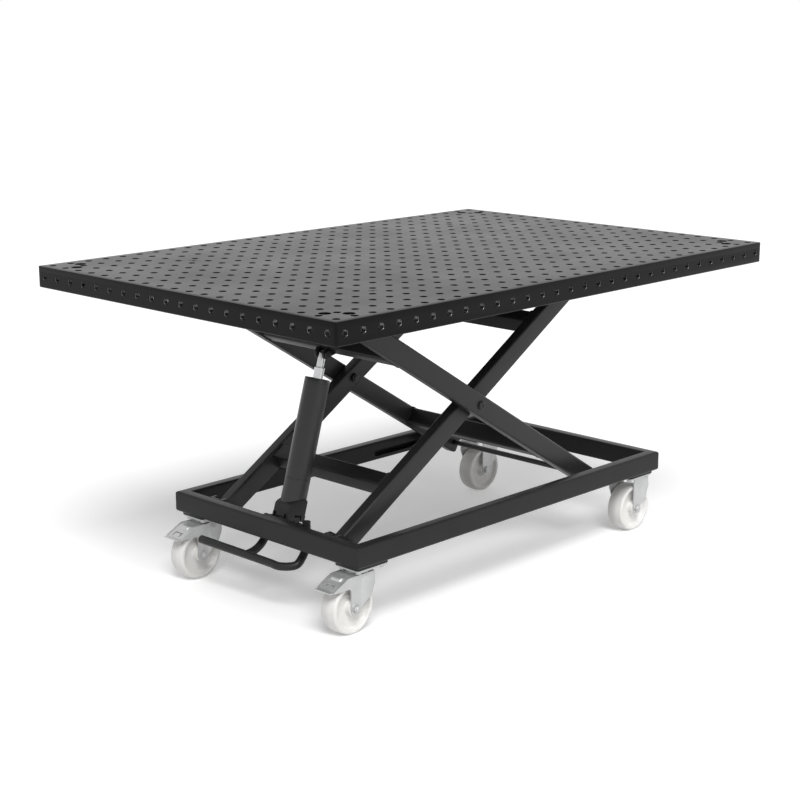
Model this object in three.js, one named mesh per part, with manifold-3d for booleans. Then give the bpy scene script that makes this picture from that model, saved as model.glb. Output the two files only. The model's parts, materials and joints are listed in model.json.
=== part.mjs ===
// Mobile assembly table: a perforated steel top on a foot-pumped scissor lift with four castors.
// Millimetres, +Z up, X along the long side. The origin is on the floor under the middle of the top.
// The pedal end is -X. The lift is drawn at one working height, set by ARM_ANGLE.
import * as THREE from 'three';
import { mergeVertices } from 'three/addons/utils/BufferGeometryUtils.js';
import Module from 'manifold-3d';

const wasm = await Module();
wasm.setup();

// Tabletop
const TOP_LENGTH = 1500;
const TOP_WIDTH = 1000;
const TOP_DEPTH = 50;
const PLATE_THICKNESS = 12;
const SKIRT_THICKNESS = 12;
const RIB_THICKNESS = 12;
const TOP_CORNER_RADIUS = 5;
const HOLE_PITCH = 50;
const HOLE_DIAMETER = 16;
const HOLE_SIDES = 4;
const HOLE_STRIDE = 2;
const CORNER_HOLE_DIAMETER = 26;
const CORNER_HOLE_STEP = 34;
const CORNER_HOLE_SIDES = 8;

// Rectangular tube of the two frames and of the arms
const TUBE_HEIGHT = 50;
const TUBE_WIDTH = 30;
const TUBE_WALL = 3;
const TUBE_RADIUS = 6;
const CROSSBAR_DEPTH = 45;
const CROSSBAR_WIDTH = 40;

// Base frame and lift frame
const FRAME_FRONT = -514;
const FRAME_WIDTH = 630;
const RAIL_PAST_SLOT = 80;
const BASE_PAST_SLOT = 172;

// Scissor lift
const ARM_ANGLE = THREE.MathUtils.degToRad(31.65);
const LOWEST_ARM_ANGLE = THREE.MathUtils.degToRad(28);
const HIGHEST_ARM_ANGLE = THREE.MathUtils.degToRad(51.65);
const ARM_SPAN = 975;
const ARM_OVERHANG = 22;
const ARM_END_RADIUS = 10;
const ARM_SIDE_CLEARANCE = 39;
const ARM_GAP = 2;
const PIVOT_INSET = 35;
const PIVOT_RISE = 19;
const RAIL_PIVOT_DROP = 27.4;
const CROSSBAR_FROM_END = 190;
const PIVOT_PIN_DIAMETER = 16;
const PIVOT_PIN_HEAD = 26;
const PIVOT_PIN_HEAD_HEIGHT = 5;
const CENTRE_NUT = 24;
const CENTRE_NUT_HEIGHT = 8;
const SLIDE_AXLE_DIAMETER = 14;
const SLOT_HEIGHT = 16;
const SLOT_SPARE = 9;
const BRACKET_PLATE = 6;
const BRACKET_NOSE_RADIUS = 18;
const BRACKET_BACK = 5;
const BRACKET_MARGIN = 1;

// Lift cylinder and foot pump
const BARREL_DIAMETER = 60;
const BARREL_WALL = 5;
const BARREL_START = 44;
const ROD_SHOWING = 59.4;
const GLAND_HEIGHT = 6;
const GLAND_PLAY = 7.5;
const GLAND_RIM = 1;
const ROD_DIAMETER = 24;
const ROD_TIP_RISE = 57;
const ROD_EYE_RADIUS = 11;
const ROD_EYE_WIDTH = 18;
const ROD_COLLAR_RIM = 2;
const ROD_COLLAR_HEIGHT = 6;
const ROD_PIN_DIAMETER = 12;
const ROD_PIN_HEAD = 19;
const ROD_PIN_HEAD_HEIGHT = 5;
const ROD_PIN_DROP = 35;
const ROD_PIN_SETBACK = 12;
const FOOT_SETBACK = 87;
const FOOT_RISE = 30;
const FOOT_PIN_DIAMETER = 14;
const FOOT_EAR_RADIUS = 10;
const PUMP_LIP = 1;
const PUMP_CHEEK = 3;
const PUMP_CORNER_RADIUS = 12;
const PUMP_CHEEK_RISE = 24;
const PUMP_SADDLE_RADIUS = 68;
const PUMP_UNDERSIDE = 12;
const PUMP_BOSS_LENGTH = 32;
const PUMP_BOSS_WIDTH = 28;
const PUMP_BOSS_RADIUS = 14;

// Foot pedal
const PEDAL_BAR_DIAMETER = 18;
const PEDAL_REACH = 12;
const PEDAL_DROP = 45;
const PEDAL_TIP_Y = 174;
const PEDAL_TIP_REACH = 18;
const PEDAL_TIP_RISE = 9.5;
const PEDAL_NEAR_LEG_Y = -104;
const PEDAL_FAR_LEG_Y = 33;
const PEDAL_CORNER = 30;
const PEDAL_LEG_BENDS = [[0.4, 0.1], [0.74, 0.4], [0.95, 0.85]];
const PEDAL_PIVOT_SETBACK = 14;
const PEDAL_PIVOT_RISE = 36;
const PEDAL_HOOK_RISE = 20;
const PEDAL_EYE_RADIUS = 9.5;
const PEDAL_EYE_WIDTH = 11;
const PEDAL_SHAFT_DIAMETER = 12;
const PEDAL_LUG_Y = -80;
const PEDAL_LUG_RADIUS = 11;

// Castors
const WHEEL_DIAMETER = 125;
const WHEEL_WIDTH = 45;
const HUB_PROUD = 2.5;
const HUB_DIAMETER = 42;
const RIM_THICKNESS = 13;
const WEB_THICKNESS = 22;
const AXLE_DIAMETER = 12;
const AXLE_NUT = 19;
const AXLE_NUT_HEIGHT = 6;
const FORK_PLATE = 3;
const FORK_CLEARANCE = 10;
const FORK_TOE_RADIUS = 14;
const CASTOR_TRAIL = 32;
const BEARING_DIAMETER = 56;
const BEARING_HEIGHT = 10;
const HEAD_THICKNESS = 4;
const HEAD_LENGTH = 100;
const HEAD_WIDTH = 82;
const SWIVEL_CROWN_DEPTH = 13;
const FIXED_CROWN_DEPTH = 22;
const FIXED_CROWN_LENGTH = 80;
const HOOD_KNEE = 64;
const HOOD_TIP = 97;
const HOOD_TIP_DROP = 22;
const HOOD_ARCH_DROP = 26;
const LEVER_TOE = 11;
const LEVER_PIN_DIAMETER = 8;
const LEVER_PIN_SETBACK = 40;
const LEVER_PIN_DROP = 7;
const CASTOR_INSET = 51;
const FRONT_SWIVEL_SETBACK = 48;
const REAR_CASTOR_SETBACK = 58.5;
const MOUNT_PLATE_THICKNESS = 8;
const MOUNT_PLATE_INSET = 10;
const MOUNT_PLATE_LENGTH = 92;
const MOUNT_PLATE_WIDTH = 69;

// Fits and facets
const GAP = 0.3;
const RUNNING_GAP = 0.5;
const THROUGH = 1;
const ARC_STEPS = 1;
const EAR_STEPS = 2;
const PIN_SIDES = 8;
const NUT_SIDES = 6;
const BAR_SIDES = 8;
const BAR_STEPS = 2;
const ROUND_SIDES = 16;

// Heights and places that follow from the sizes above
const WHEEL_RADIUS = WHEEL_DIAMETER / 2;
const HUB_WIDTH = WHEEL_WIDTH + 2 * HUB_PROUD;
const FORK_INNER = HUB_WIDTH / 2 + RUNNING_GAP;
const FORK_OUTER = FORK_INNER + FORK_PLATE;
const CROWN_TOP = WHEEL_DIAMETER + FORK_CLEARANCE + FORK_PLATE;
const CASTOR_HEIGHT = CROWN_TOP + BEARING_HEIGHT + HEAD_THICKNESS;
const CASTOR_LINE_Y = FRAME_WIDTH / 2 - CASTOR_INSET;
const BASE_BOTTOM = CASTOR_HEIGHT + MOUNT_PLATE_THICKNESS;
const BASE_TOP = BASE_BOTTOM + TUBE_HEIGHT;
const FRAME_BACK_X = FRAME_FRONT + TUBE_WIDTH + GAP;
const LOWER_PIVOT = new THREE.Vector3(FRAME_FRONT + TUBE_WIDTH + PIVOT_INSET, 0, BASE_BOTTOM + PIVOT_RISE);
const ARM_RUN = ARM_SPAN * Math.cos(ARM_ANGLE);
const ARM_RISE = ARM_SPAN * Math.sin(ARM_ANGLE);
const CENTRE_PIVOT = LOWER_PIVOT.clone().add(new THREE.Vector3(ARM_RUN / 2, 0, ARM_RISE / 2));
const UPPER_PIVOT = LOWER_PIVOT.clone().add(new THREE.Vector3(0, 0, ARM_RISE));
const RAIL_TOP = UPPER_PIVOT.z + RAIL_PIVOT_DROP;
const RAIL_BOTTOM = RAIL_TOP - TUBE_HEIGHT;
const TOP_HEIGHT = RAIL_TOP + TOP_DEPTH;
const SLOT_END_ROOM = SLIDE_AXLE_DIAMETER / 2 + SLOT_SPARE;
const SLOT_START = LOWER_PIVOT.x + ARM_SPAN * Math.cos(HIGHEST_ARM_ANGLE) - SLOT_END_ROOM;
const SLOT_END = LOWER_PIVOT.x + ARM_SPAN * Math.cos(LOWEST_ARM_ANGLE) + SLOT_END_ROOM;
const RAIL_LENGTH = SLOT_END + RAIL_PAST_SLOT - FRAME_FRONT;
const BASE_LENGTH = SLOT_END + BASE_PAST_SLOT - FRAME_FRONT;
const OUTER_ARM_FACE = FRAME_WIDTH / 2 - TUBE_WIDTH - ARM_SIDE_CLEARANCE;
const INNER_ARM_FACE = OUTER_ARM_FACE - TUBE_WIDTH - ARM_GAP;
const PUMP_LENGTH = BARREL_DIAMETER + 2 * PUMP_LIP;
const PUMP_WIDTH = BARREL_DIAMETER + 2 * PUMP_CHEEK;

// Finishes
const POWDER_BLACK = { color: 0x2b2b2c, roughness: 0.55, metalness: 0.1 };
const NITRIDED = { color: 0x3a3b3d, roughness: 0.42, metalness: 0.6 };
const BLACK_OXIDE = { color: 0x161616, roughness: 0.45, metalness: 0.5 };
const CHROME = { color: 0xd8d9da, roughness: 0.15, metalness: 1.0 };
const ZINC = { color: 0xb4b7b9, roughness: 0.35, metalness: 0.9 };
const POLYAMIDE = { color: 0xe6e2da, roughness: 0.5, metalness: 0.0 };

// Closed triangle mesh of a geometry, with shared corners merged and empty triangles dropped.
function toSolid(geometry) {
  const bare = geometry.clone();
  bare.deleteAttribute('normal');
  bare.deleteAttribute('uv');
  const merged = mergeVertices(bare, 1e-4);
  const index = merged.index.array;
  const kept = [];
  for (let i = 0; i < index.length; i += 3) {
    const [a, b, c] = [index[i], index[i + 1], index[i + 2]];
    if (a !== b && b !== c && c !== a) kept.push(a, b, c);
  }
  const vertProperties = new Float32Array(merged.getAttribute('position').array);
  const triVerts = new Uint32Array(kept);
  return new wasm.Manifold(new wasm.Mesh({ numProp: 3, vertProperties, triVerts }));
}

function toGeometry(solid) {
  const { vertProperties, triVerts } = solid.getMesh();
  const geometry = new THREE.BufferGeometry();
  geometry.setAttribute('position', new THREE.BufferAttribute(new Float32Array(vertProperties), 3));
  geometry.setIndex(new THREE.BufferAttribute(new Uint32Array(triVerts), 1));
  return geometry;
}

function cut(body, ...tools) {
  return toGeometry(tools.reduce((left, tool) => left.subtract(toSolid(tool)), toSolid(body)));
}

function join(...pieces) {
  return toGeometry(pieces.map(toSolid).reduce((whole, piece) => whole.add(piece)));
}

function common(first, second) {
  return toGeometry(toSolid(first).intersect(toSolid(second)));
}

// Outlines
function roundedRect(width, height, radius) {
  const [x, y] = [width / 2, height / 2];
  const outline = new THREE.Shape();
  outline.absarc(x - radius, y - radius, radius, 0, Math.PI / 2);
  outline.absarc(-x + radius, y - radius, radius, Math.PI / 2, Math.PI);
  outline.absarc(-x + radius, -y + radius, radius, Math.PI, 1.5 * Math.PI);
  outline.absarc(x - radius, -y + radius, radius, 1.5 * Math.PI, 2 * Math.PI);
  outline.closePath();
  return outline;
}

function polygon(points) {
  return new THREE.Shape(points.map(([x, y]) => new THREE.Vector2(x, y)));
}

// Regular many-sided outline whose corners lie on the circle.
function ring(x, y, diameter, sides) {
  const radius = diameter / 2;
  const turns = Array.from({ length: sides }, (_, i) => (2 * Math.PI * i) / sides);
  return polygon(turns.map((turn) => [x + radius * Math.cos(turn), y + radius * Math.sin(turn)]));
}

function slotOutline(x0, x1, y, height) {
  const outline = new THREE.Shape();
  outline.absarc(x1 - height / 2, y, height / 2, -Math.PI / 2, Math.PI / 2);
  outline.absarc(x0 + height / 2, y, height / 2, Math.PI / 2, 1.5 * Math.PI);
  outline.closePath();
  return outline;
}

// Straight bodies along each axis from an outline
function extruded(outline, depth, steps = ARC_STEPS) {
  return new THREE.ExtrudeGeometry(outline, { depth, bevelEnabled: false, curveSegments: steps });
}

function alongZ(outline, z0, z1, steps) {
  return extruded(outline, z1 - z0, steps).translate(0, 0, z0);
}

function alongY(outline, y0, y1, steps) {
  return extruded(outline, y1 - y0, steps).rotateX(Math.PI / 2).translate(0, y1, 0);
}

function alongX(outline, x0, x1, steps) {
  const turn = new THREE.Matrix4().makeBasis(
    new THREE.Vector3(0, 1, 0), new THREE.Vector3(0, 0, 1), new THREE.Vector3(1, 0, 0));
  return extruded(outline, x1 - x0, steps).applyMatrix4(turn).translate(x0, 0, 0);
}

function block(x0, x1, y0, y1, z0, z1) {
  const box = new THREE.BoxGeometry(x1 - x0, y1 - y0, z1 - z0);
  return box.translate((x0 + x1) / 2, (y0 + y1) / 2, (z0 + z1) / 2);
}

// Pin along Y, and the bore that clears it whichever way its corners point.
function pinY(diameter, y0, y1, x = 0, z = 0, sides = PIN_SIDES) {
  const pin = new THREE.CylinderGeometry(diameter / 2, diameter / 2, y1 - y0, sides);
  return pin.translate(x, (y0 + y1) / 2, z);
}

function boreY(diameter, y0, y1, x = 0, z = 0) {
  const clear = (diameter + 2 * RUNNING_GAP) / Math.cos(Math.PI / PIN_SIDES);
  return pinY(clear, y0, y1, x, z);
}

// Seat of a pin that is fixed in its hole, with corners that line up with the pin's.
function seatY(diameter, y0, y1, x = 0, z = 0) {
  return pinY(diameter + 2 * GAP, y0, y1, x, z);
}

function pinZ(diameter, z0, z1, x = 0, y = 0, sides = PIN_SIDES) {
  return pinY(diameter, z0, z1, 0, 0, sides).rotateX(Math.PI / 2).translate(x, y, 0);
}

function addPart(parent, name, geometry, finish) {
  const mesh = new THREE.Mesh(toGeometry(toSolid(geometry)), new THREE.MeshStandardMaterial(finish));
  mesh.name = name;
  parent.add(mesh);
}

// Mirrors a geometry to the other side of the table and turns its faces back outwards.
function onSide(geometry, side) {
  if (side > 0) return geometry;
  return toGeometry(toSolid(geometry).scale([1, -1, 1]));
}

// Rectangular tube along X, open at both ends.
function tubeX(x0, x1, width, height) {
  const [y, z] = [width / 2 - TUBE_WALL, height / 2 - TUBE_WALL];
  const inside = block(x0 - THROUGH, x1 + THROUGH, -y, y, -z, z);
  return cut(alongX(roundedRect(width, height, TUBE_RADIUS), x0, x1), inside);
}

const table = new THREE.Group();
const SIDES = [['left', 1], ['right', -1]];

// Tabletop: perforated plate, side skirts with the same hole grid, and ribs that stand on the lift frame.
function holeLine(length) {
  const count = Math.floor(length / HOLE_PITCH);
  return Array.from({ length: count }, (_, i) => (i - (count - 1) / 2) * HOLE_PITCH);
}

// The grid is drawn with every HOLE_STRIDE-th hole of each row.
function drawnHoles(length, row) {
  return holeLine(length).filter((_, i) => (i + row) % HOLE_STRIDE === 0);
}

function topPlate() {
  const grid = holeLine(TOP_WIDTH).flatMap((y, row) =>
    drawnHoles(TOP_LENGTH, row).map((x) => ring(x, y, HOLE_DIAMETER, HOLE_SIDES)));
  const corners = [];
  const [near, far] = [HOLE_PITCH, HOLE_PITCH + CORNER_HOLE_STEP];
  for (const sx of [-1, 1]) {
    for (const sy of [-1, 1]) {
      for (const [dx, dy] of [[near, far], [far, near]]) {
        const [x, y] = [sx * (TOP_LENGTH / 2 - dx), sy * (TOP_WIDTH / 2 - dy)];
        corners.push(ring(x, y, CORNER_HOLE_DIAMETER, CORNER_HOLE_SIDES));
      }
    }
  }
  const plate = roundedRect(TOP_LENGTH, TOP_WIDTH, TOP_CORNER_RADIUS);
  const bottom = TOP_HEIGHT - PLATE_THICKNESS;
  const through = [bottom - THROUGH, TOP_HEIGHT + THROUGH];
  return cut(alongZ(plate, bottom, TOP_HEIGHT), alongZ(grid, ...through), alongZ(corners, ...through));
}

function addTabletop() {
  const skirtTop = TOP_HEIGHT - PLATE_THICKNESS - GAP;
  const holeZ = TOP_HEIGHT - TOP_DEPTH / 2;
  addPart(table, 'tabletop_plate', topPlate(), NITRIDED);
  const corners = alongZ(roundedRect(TOP_LENGTH, TOP_WIDTH, TOP_CORNER_RADIUS), RAIL_TOP, skirtTop);
  for (const [name, side] of SIDES) {
    const holes = drawnHoles(TOP_LENGTH, 0).map((x) => ring(x, holeZ, HOLE_DIAMETER, HOLE_SIDES));
    const [x1, y0, y1] = [TOP_LENGTH / 2, TOP_WIDTH / 2 - SKIRT_THICKNESS, TOP_WIDTH / 2];
    const strip = common(corners, block(-x1, x1, y0, y1, RAIL_TOP, skirtTop));
    const skirt = cut(strip, alongY(holes, y0 - THROUGH, y1 + THROUGH));
    addPart(table, `side_skirt_${name}`, onSide(skirt, side), NITRIDED);
    const ribEnd = TOP_LENGTH / 2 - SKIRT_THICKNESS - GAP;
    const [ribY, ribHalf] = [FRAME_WIDTH / 2 - TUBE_WIDTH / 2, RIB_THICKNESS / 2];
    const rib = block(-ribEnd, ribEnd, ribY - ribHalf, ribY + ribHalf, RAIL_TOP, skirtTop);
    addPart(table, `top_rib_${name}`, onSide(rib, side), NITRIDED);
  }
  for (const [name, x0] of [['front', -TOP_LENGTH / 2], ['rear', TOP_LENGTH / 2 - SKIRT_THICKNESS]]) {
    const holes = drawnHoles(TOP_WIDTH, 0).map((y) => ring(y, holeZ, HOLE_DIAMETER, HOLE_SIDES));
    const y1 = TOP_WIDTH / 2 - SKIRT_THICKNESS - GAP;
    const strip = block(x0, x0 + SKIRT_THICKNESS, -y1, y1, RAIL_TOP, skirtTop);
    const skirt = cut(strip, alongX(holes, x0 - THROUGH, x0 + SKIRT_THICKNESS + THROUGH));
    addPart(table, `end_skirt_${name}`, skirt, NITRIDED);
  }
}

// Mitred frame of four tubes. The long tubes carry the slots that guide a slide axle.
function mitredTube(length, width, slot) {
  const half = length / 2;
  const outer = width / 2;
  const inner = outer - TUBE_WIDTH;
  const shy = GAP / Math.SQRT2;
  const plan = polygon([[-half + shy, outer], [half - shy, outer],
    [half - TUBE_WIDTH - shy, inner], [-half + TUBE_WIDTH + shy, inner]]);
  const tube = tubeX(-half, half, TUBE_WIDTH, TUBE_HEIGHT).translate(0, outer - TUBE_WIDTH / 2, 0);
  const mitred = common(tube, alongZ(plan, -TUBE_HEIGHT, TUBE_HEIGHT));
  return slot ? cut(mitred, alongY(slot, inner - TUBE_WALL, inner + 2 * TUBE_WALL)) : mitred;
}

function addFrame(prefix, length, bottom, slotZ) {
  const frame = new THREE.Group();
  frame.position.set(FRAME_FRONT + length / 2, 0, bottom + TUBE_HEIGHT / 2);
  table.add(frame);
  const { x, z } = frame.position;
  const slot = slotOutline(SLOT_START - x, SLOT_END - x, slotZ - z, SLOT_HEIGHT);
  for (const [name, side] of SIDES) {
    const beam = onSide(mitredTube(length, FRAME_WIDTH, slot), side);
    addPart(frame, `${prefix}_beam_${name}`, beam, POWDER_BLACK);
  }
  for (const [name, turn] of [['front', Math.PI / 2], ['rear', -Math.PI / 2]]) {
    const beam = mitredTube(FRAME_WIDTH, length, null).rotateZ(turn);
    addPart(frame, `${prefix}_beam_${name}`, beam, POWDER_BLACK);
  }
}

// Pivot brackets: two ears round an arm's end on a back plate that is welded to a frame's front tube.
function pivotBracket(armInner, pivot, z0, z1) {
  const [ear0, ear1] = [armInner - RUNNING_GAP - BRACKET_PLATE, armInner - RUNNING_GAP];
  const outerEar = armInner + TUBE_WIDTH + RUNNING_GAP;
  const earEnd = outerEar + BRACKET_PLATE;
  const nose = new THREE.Shape();
  nose.moveTo(FRAME_BACK_X, z0);
  nose.lineTo(pivot.x, pivot.z - BRACKET_NOSE_RADIUS);
  nose.absarc(pivot.x, pivot.z, BRACKET_NOSE_RADIUS, -Math.PI / 2, Math.PI / 2);
  nose.lineTo(FRAME_BACK_X + PIVOT_INSET / 2, z1);
  nose.lineTo(FRAME_BACK_X, z1);
  nose.closePath();
  const ears = join(
    alongY(nose, ear0, ear1, EAR_STEPS),
    alongY(nose, outerEar, earEnd, EAR_STEPS),
    block(FRAME_BACK_X, FRAME_BACK_X + BRACKET_BACK, ear0, earEnd, z0, z1));
  return cut(ears, boreY(PIVOT_PIN_DIAMETER, ear0 - THROUGH, earEnd + THROUGH, pivot.x, pivot.z));
}

function headedPin(diameter, y0, y1, headDiameter, headHeight) {
  return join(pinY(diameter, y0, y1), pinY(headDiameter, y1 - GAP, y1 + headHeight));
}

function addPivots() {
  const innerArmStart = INNER_ARM_FACE - TUBE_WIDTH;
  const outerArmStart = OUTER_ARM_FACE - TUBE_WIDTH;
  const places = [
    ['lower', innerArmStart, LOWER_PIVOT, BASE_BOTTOM],
    ['upper', outerArmStart, UPPER_PIVOT, RAIL_BOTTOM],
  ];
  const reach = RUNNING_GAP + BRACKET_PLATE + GAP;
  for (const [level, armInner, pivot, bottom] of places) {
    for (const [name, side] of SIDES) {
      const [z0, z1] = [bottom + BRACKET_MARGIN, bottom + TUBE_HEIGHT - BRACKET_MARGIN];
      const bracket = pivotBracket(armInner, pivot, z0, z1);
      addPart(table, `${level}_pivot_bracket_${name}`, onSide(bracket, side), POWDER_BLACK);
      const [pin0, pin1] = [armInner - reach, armInner + TUBE_WIDTH + reach];
      const pin = headedPin(PIVOT_PIN_DIAMETER, pin0, pin1, PIVOT_PIN_HEAD, PIVOT_PIN_HEAD_HEIGHT);
      pin.translate(pivot.x, 0, pivot.z);
      addPart(table, `${level}_pivot_pin_${name}`, onSide(pin, side), BLACK_OXIDE);
    }
  }
}

// Scissor arms. Each pair is drawn level in its own group, U along the arm, and the group is tilted.
function armTube(u0, u1, y0, bores) {
  const length = u1 - u0;
  const middle = (u0 + u1) / 2;
  const tube = tubeX(u0, u1, TUBE_WIDTH, TUBE_HEIGHT).translate(0, y0 + TUBE_WIDTH / 2, 0);
  const ends = alongY(roundedRect(length, TUBE_HEIGHT, ARM_END_RADIUS), y0, y0 + TUBE_WIDTH);
  const shaped = common(tube, ends.translate(middle, 0, 0));
  return cut(shaped, ...bores);
}

function crossbar(u, halfWidth) {
  const tube = tubeX(-halfWidth + GAP, halfWidth - GAP, CROSSBAR_WIDTH, CROSSBAR_DEPTH);
  return tube.rotateZ(Math.PI / 2).translate(u, 0, 0);
}

function slideAxle(u) {
  const reach = FRAME_WIDTH / 2 - 2 * TUBE_WALL;
  return pinY(SLIDE_AXLE_DIAMETER, -reach, reach, u);
}

function centreBolt(innerFace) {
  const nut0 = innerFace - CENTRE_NUT_HEIGHT;
  const shank = headedPin(PIVOT_PIN_DIAMETER, nut0, OUTER_ARM_FACE + GAP, CENTRE_NUT, PIVOT_PIN_HEAD_HEIGHT);
  return join(shank, pinY(CENTRE_NUT, nut0, innerFace - GAP, 0, 0, NUT_SIDES));
}

function addInnerArms() {
  const arms = new THREE.Group();
  arms.position.copy(LOWER_PIVOT);
  arms.rotation.y = -ARM_ANGLE;
  table.add(arms);
  const y0 = INNER_ARM_FACE - TUBE_WIDTH;
  const half = ARM_SPAN / 2;
  const through = [y0 - THROUGH, INNER_ARM_FACE + THROUGH];
  const bores = [
    boreY(PIVOT_PIN_DIAMETER, ...through, 0),
    boreY(PIVOT_PIN_DIAMETER, ...through, half),
    seatY(SLIDE_AXLE_DIAMETER, ...through, ARM_SPAN),
  ];
  for (const [name, side] of SIDES) {
    const arm = armTube(-ARM_OVERHANG, ARM_SPAN + ARM_OVERHANG, y0, bores);
    addPart(arms, `inner_arm_${name}`, onSide(arm, side), POWDER_BLACK);
    const bolt = centreBolt(y0).translate(half, 0, 0);
    addPart(arms, `centre_pivot_bolt_${name}`, onSide(bolt, side), BLACK_OXIDE);
  }
  addPart(arms, 'inner_arm_crossbar_low', crossbar(CROSSBAR_FROM_END, y0), POWDER_BLACK);
  addPart(arms, 'inner_arm_crossbar_high', crossbar(ARM_SPAN - CROSSBAR_FROM_END, y0), POWDER_BLACK);
  addPart(arms, 'upper_slide_axle', slideAxle(ARM_SPAN), BLACK_OXIDE);
}

// Rod pin in the outer arms' own coordinates, and the same point and the cylinder's foot in the table's.
const ROD_PIN_U = CROSSBAR_FROM_END - ARM_SPAN / 2 - ROD_PIN_SETBACK;
const ROD_PIN = new THREE.Vector3(ROD_PIN_U, 0, -ROD_PIN_DROP)
  .applyAxisAngle(new THREE.Vector3(0, 1, 0), ARM_ANGLE).add(CENTRE_PIVOT);
const CYLINDER_FOOT = new THREE.Vector3(FRAME_FRONT + FOOT_SETBACK, 0, BASE_BOTTOM + FOOT_RISE);
const CYLINDER_TILT = Math.atan2(ROD_PIN.x - CYLINDER_FOOT.x, ROD_PIN.z - CYLINDER_FOOT.z);
const CYLINDER_LENGTH = CYLINDER_FOOT.distanceTo(ROD_PIN);

function rodEar(y0, y1) {
  const [u, w] = [ROD_PIN_U, -ROD_PIN_DROP];
  const top = -CROSSBAR_DEPTH / 2 - GAP;
  const noseRadius = ROD_PIN_DIAMETER;
  const outline = new THREE.Shape();
  outline.moveTo(u - noseRadius, top);
  outline.absarc(u, w, noseRadius, Math.PI, 2 * Math.PI);
  outline.lineTo(u + ROD_PIN_SETBACK + CROSSBAR_WIDTH / 2 - TUBE_RADIUS, top);
  outline.closePath();
  const bore = boreY(ROD_PIN_DIAMETER, y0 - THROUGH, y1 + THROUGH, u, w);
  return cut(alongY(outline, y0, y1, EAR_STEPS), bore);
}

function addOuterArms() {
  const arms = new THREE.Group();
  arms.position.copy(CENTRE_PIVOT);
  arms.rotation.y = ARM_ANGLE;
  table.add(arms);
  const half = ARM_SPAN / 2;
  const y0 = OUTER_ARM_FACE - TUBE_WIDTH;
  const through = [y0 - THROUGH, OUTER_ARM_FACE + THROUGH];
  const bores = [
    boreY(PIVOT_PIN_DIAMETER, ...through, -half),
    boreY(PIVOT_PIN_DIAMETER, ...through, 0),
    seatY(SLIDE_AXLE_DIAMETER, ...through, half),
  ];
  const earStart = ROD_EYE_WIDTH / 2 + RUNNING_GAP;
  const earEnd = earStart + BRACKET_PLATE;
  for (const [name, side] of SIDES) {
    const arm = armTube(-half - ARM_OVERHANG, half + ARM_OVERHANG, y0, bores);
    addPart(arms, `outer_arm_${name}`, onSide(arm, side), POWDER_BLACK);
    addPart(arms, `rod_bracket_${name}`, onSide(rodEar(earStart, earEnd), side), POWDER_BLACK);
  }
  addPart(arms, 'outer_arm_crossbar_high', crossbar(CROSSBAR_FROM_END - half, y0), POWDER_BLACK);
  addPart(arms, 'outer_arm_crossbar_low', crossbar(half - CROSSBAR_FROM_END, y0), POWDER_BLACK);
  addPart(arms, 'lower_slide_axle', slideAxle(half), BLACK_OXIDE);
  const pinEnd = earEnd + GAP;
  const pin = headedPin(ROD_PIN_DIAMETER, -pinEnd, pinEnd, ROD_PIN_HEAD, ROD_PIN_HEAD_HEIGHT);
  addPart(arms, 'rod_pin', pin.translate(ROD_PIN_U, 0, -ROD_PIN_DROP), BLACK_OXIDE);
}

// Pump block: a saddle round the barrel's foot, with a boss below it that turns on the foot pin.
function pumpBlock() {
  const [x, y] = [PUMP_LENGTH / 2, PUMP_WIDTH / 2];
  const top = BARREL_START + PUMP_CHEEK_RISE;
  const body = alongZ(roundedRect(PUMP_LENGTH, PUMP_WIDTH, PUMP_CORNER_RADIUS), PUMP_UNDERSIDE, top);
  const saddleZ = BARREL_START + PUMP_SADDLE_RADIUS - BARREL_WALL;
  const across = [-y - THROUGH, y + THROUGH];
  const saddle = pinY(2 * PUMP_SADDLE_RADIUS, ...across, -x - BARREL_WALL, saddleZ, 2 * ROUND_SIDES);
  const seat = pinZ(BARREL_DIAMETER + 2 * GAP, BARREL_START, top + THROUGH, 0, 0, ROUND_SIDES);
  const [bossX, bossY] = [PUMP_BOSS_LENGTH / 2, PUMP_BOSS_WIDTH / 2];
  const boss = new THREE.Shape();
  boss.moveTo(bossX, PUMP_UNDERSIDE + GAP);
  boss.lineTo(-bossX, PUMP_UNDERSIDE + GAP);
  boss.lineTo(-PUMP_BOSS_RADIUS, 0);
  boss.absarc(0, 0, PUMP_BOSS_RADIUS, Math.PI, 2 * Math.PI);
  boss.closePath();
  const whole = join(cut(body, saddle, seat), alongY(boss, -bossY, bossY, EAR_STEPS));
  return cut(whole, boreY(FOOT_PIN_DIAMETER, -bossY - THROUGH, bossY + THROUGH));
}

function addCylinder() {
  const cylinder = new THREE.Group();
  cylinder.position.copy(CYLINDER_FOOT);
  cylinder.rotation.y = CYLINDER_TILT;
  table.add(cylinder);
  addPart(cylinder, 'pump_block', pumpBlock(), POWDER_BLACK);
  const barrelStart = BARREL_START + GAP;
  const barrelEnd = CYLINDER_LENGTH - ROD_SHOWING;
  const glandStart = barrelEnd - GLAND_HEIGHT;
  const bore = BARREL_DIAMETER - 2 * BARREL_WALL;
  const glandBore = ROD_DIAMETER + 2 * GLAND_PLAY;
  const outside = join(
    pinZ(BARREL_DIAMETER, barrelStart, barrelEnd - GLAND_RIM, 0, 0, ROUND_SIDES),
    pinZ(BARREL_DIAMETER + 2 * GLAND_RIM, glandStart, barrelEnd, 0, 0, ROUND_SIDES));
  const barrel = cut(outside,
    pinZ(bore, barrelStart + BARREL_WALL, glandStart, 0, 0, ROUND_SIDES),
    pinZ(glandBore, glandStart - THROUGH, barrelEnd + THROUGH, 0, 0, ROUND_SIDES));
  addPart(cylinder, 'cylinder_barrel', barrel, POWDER_BLACK);
}

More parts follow.
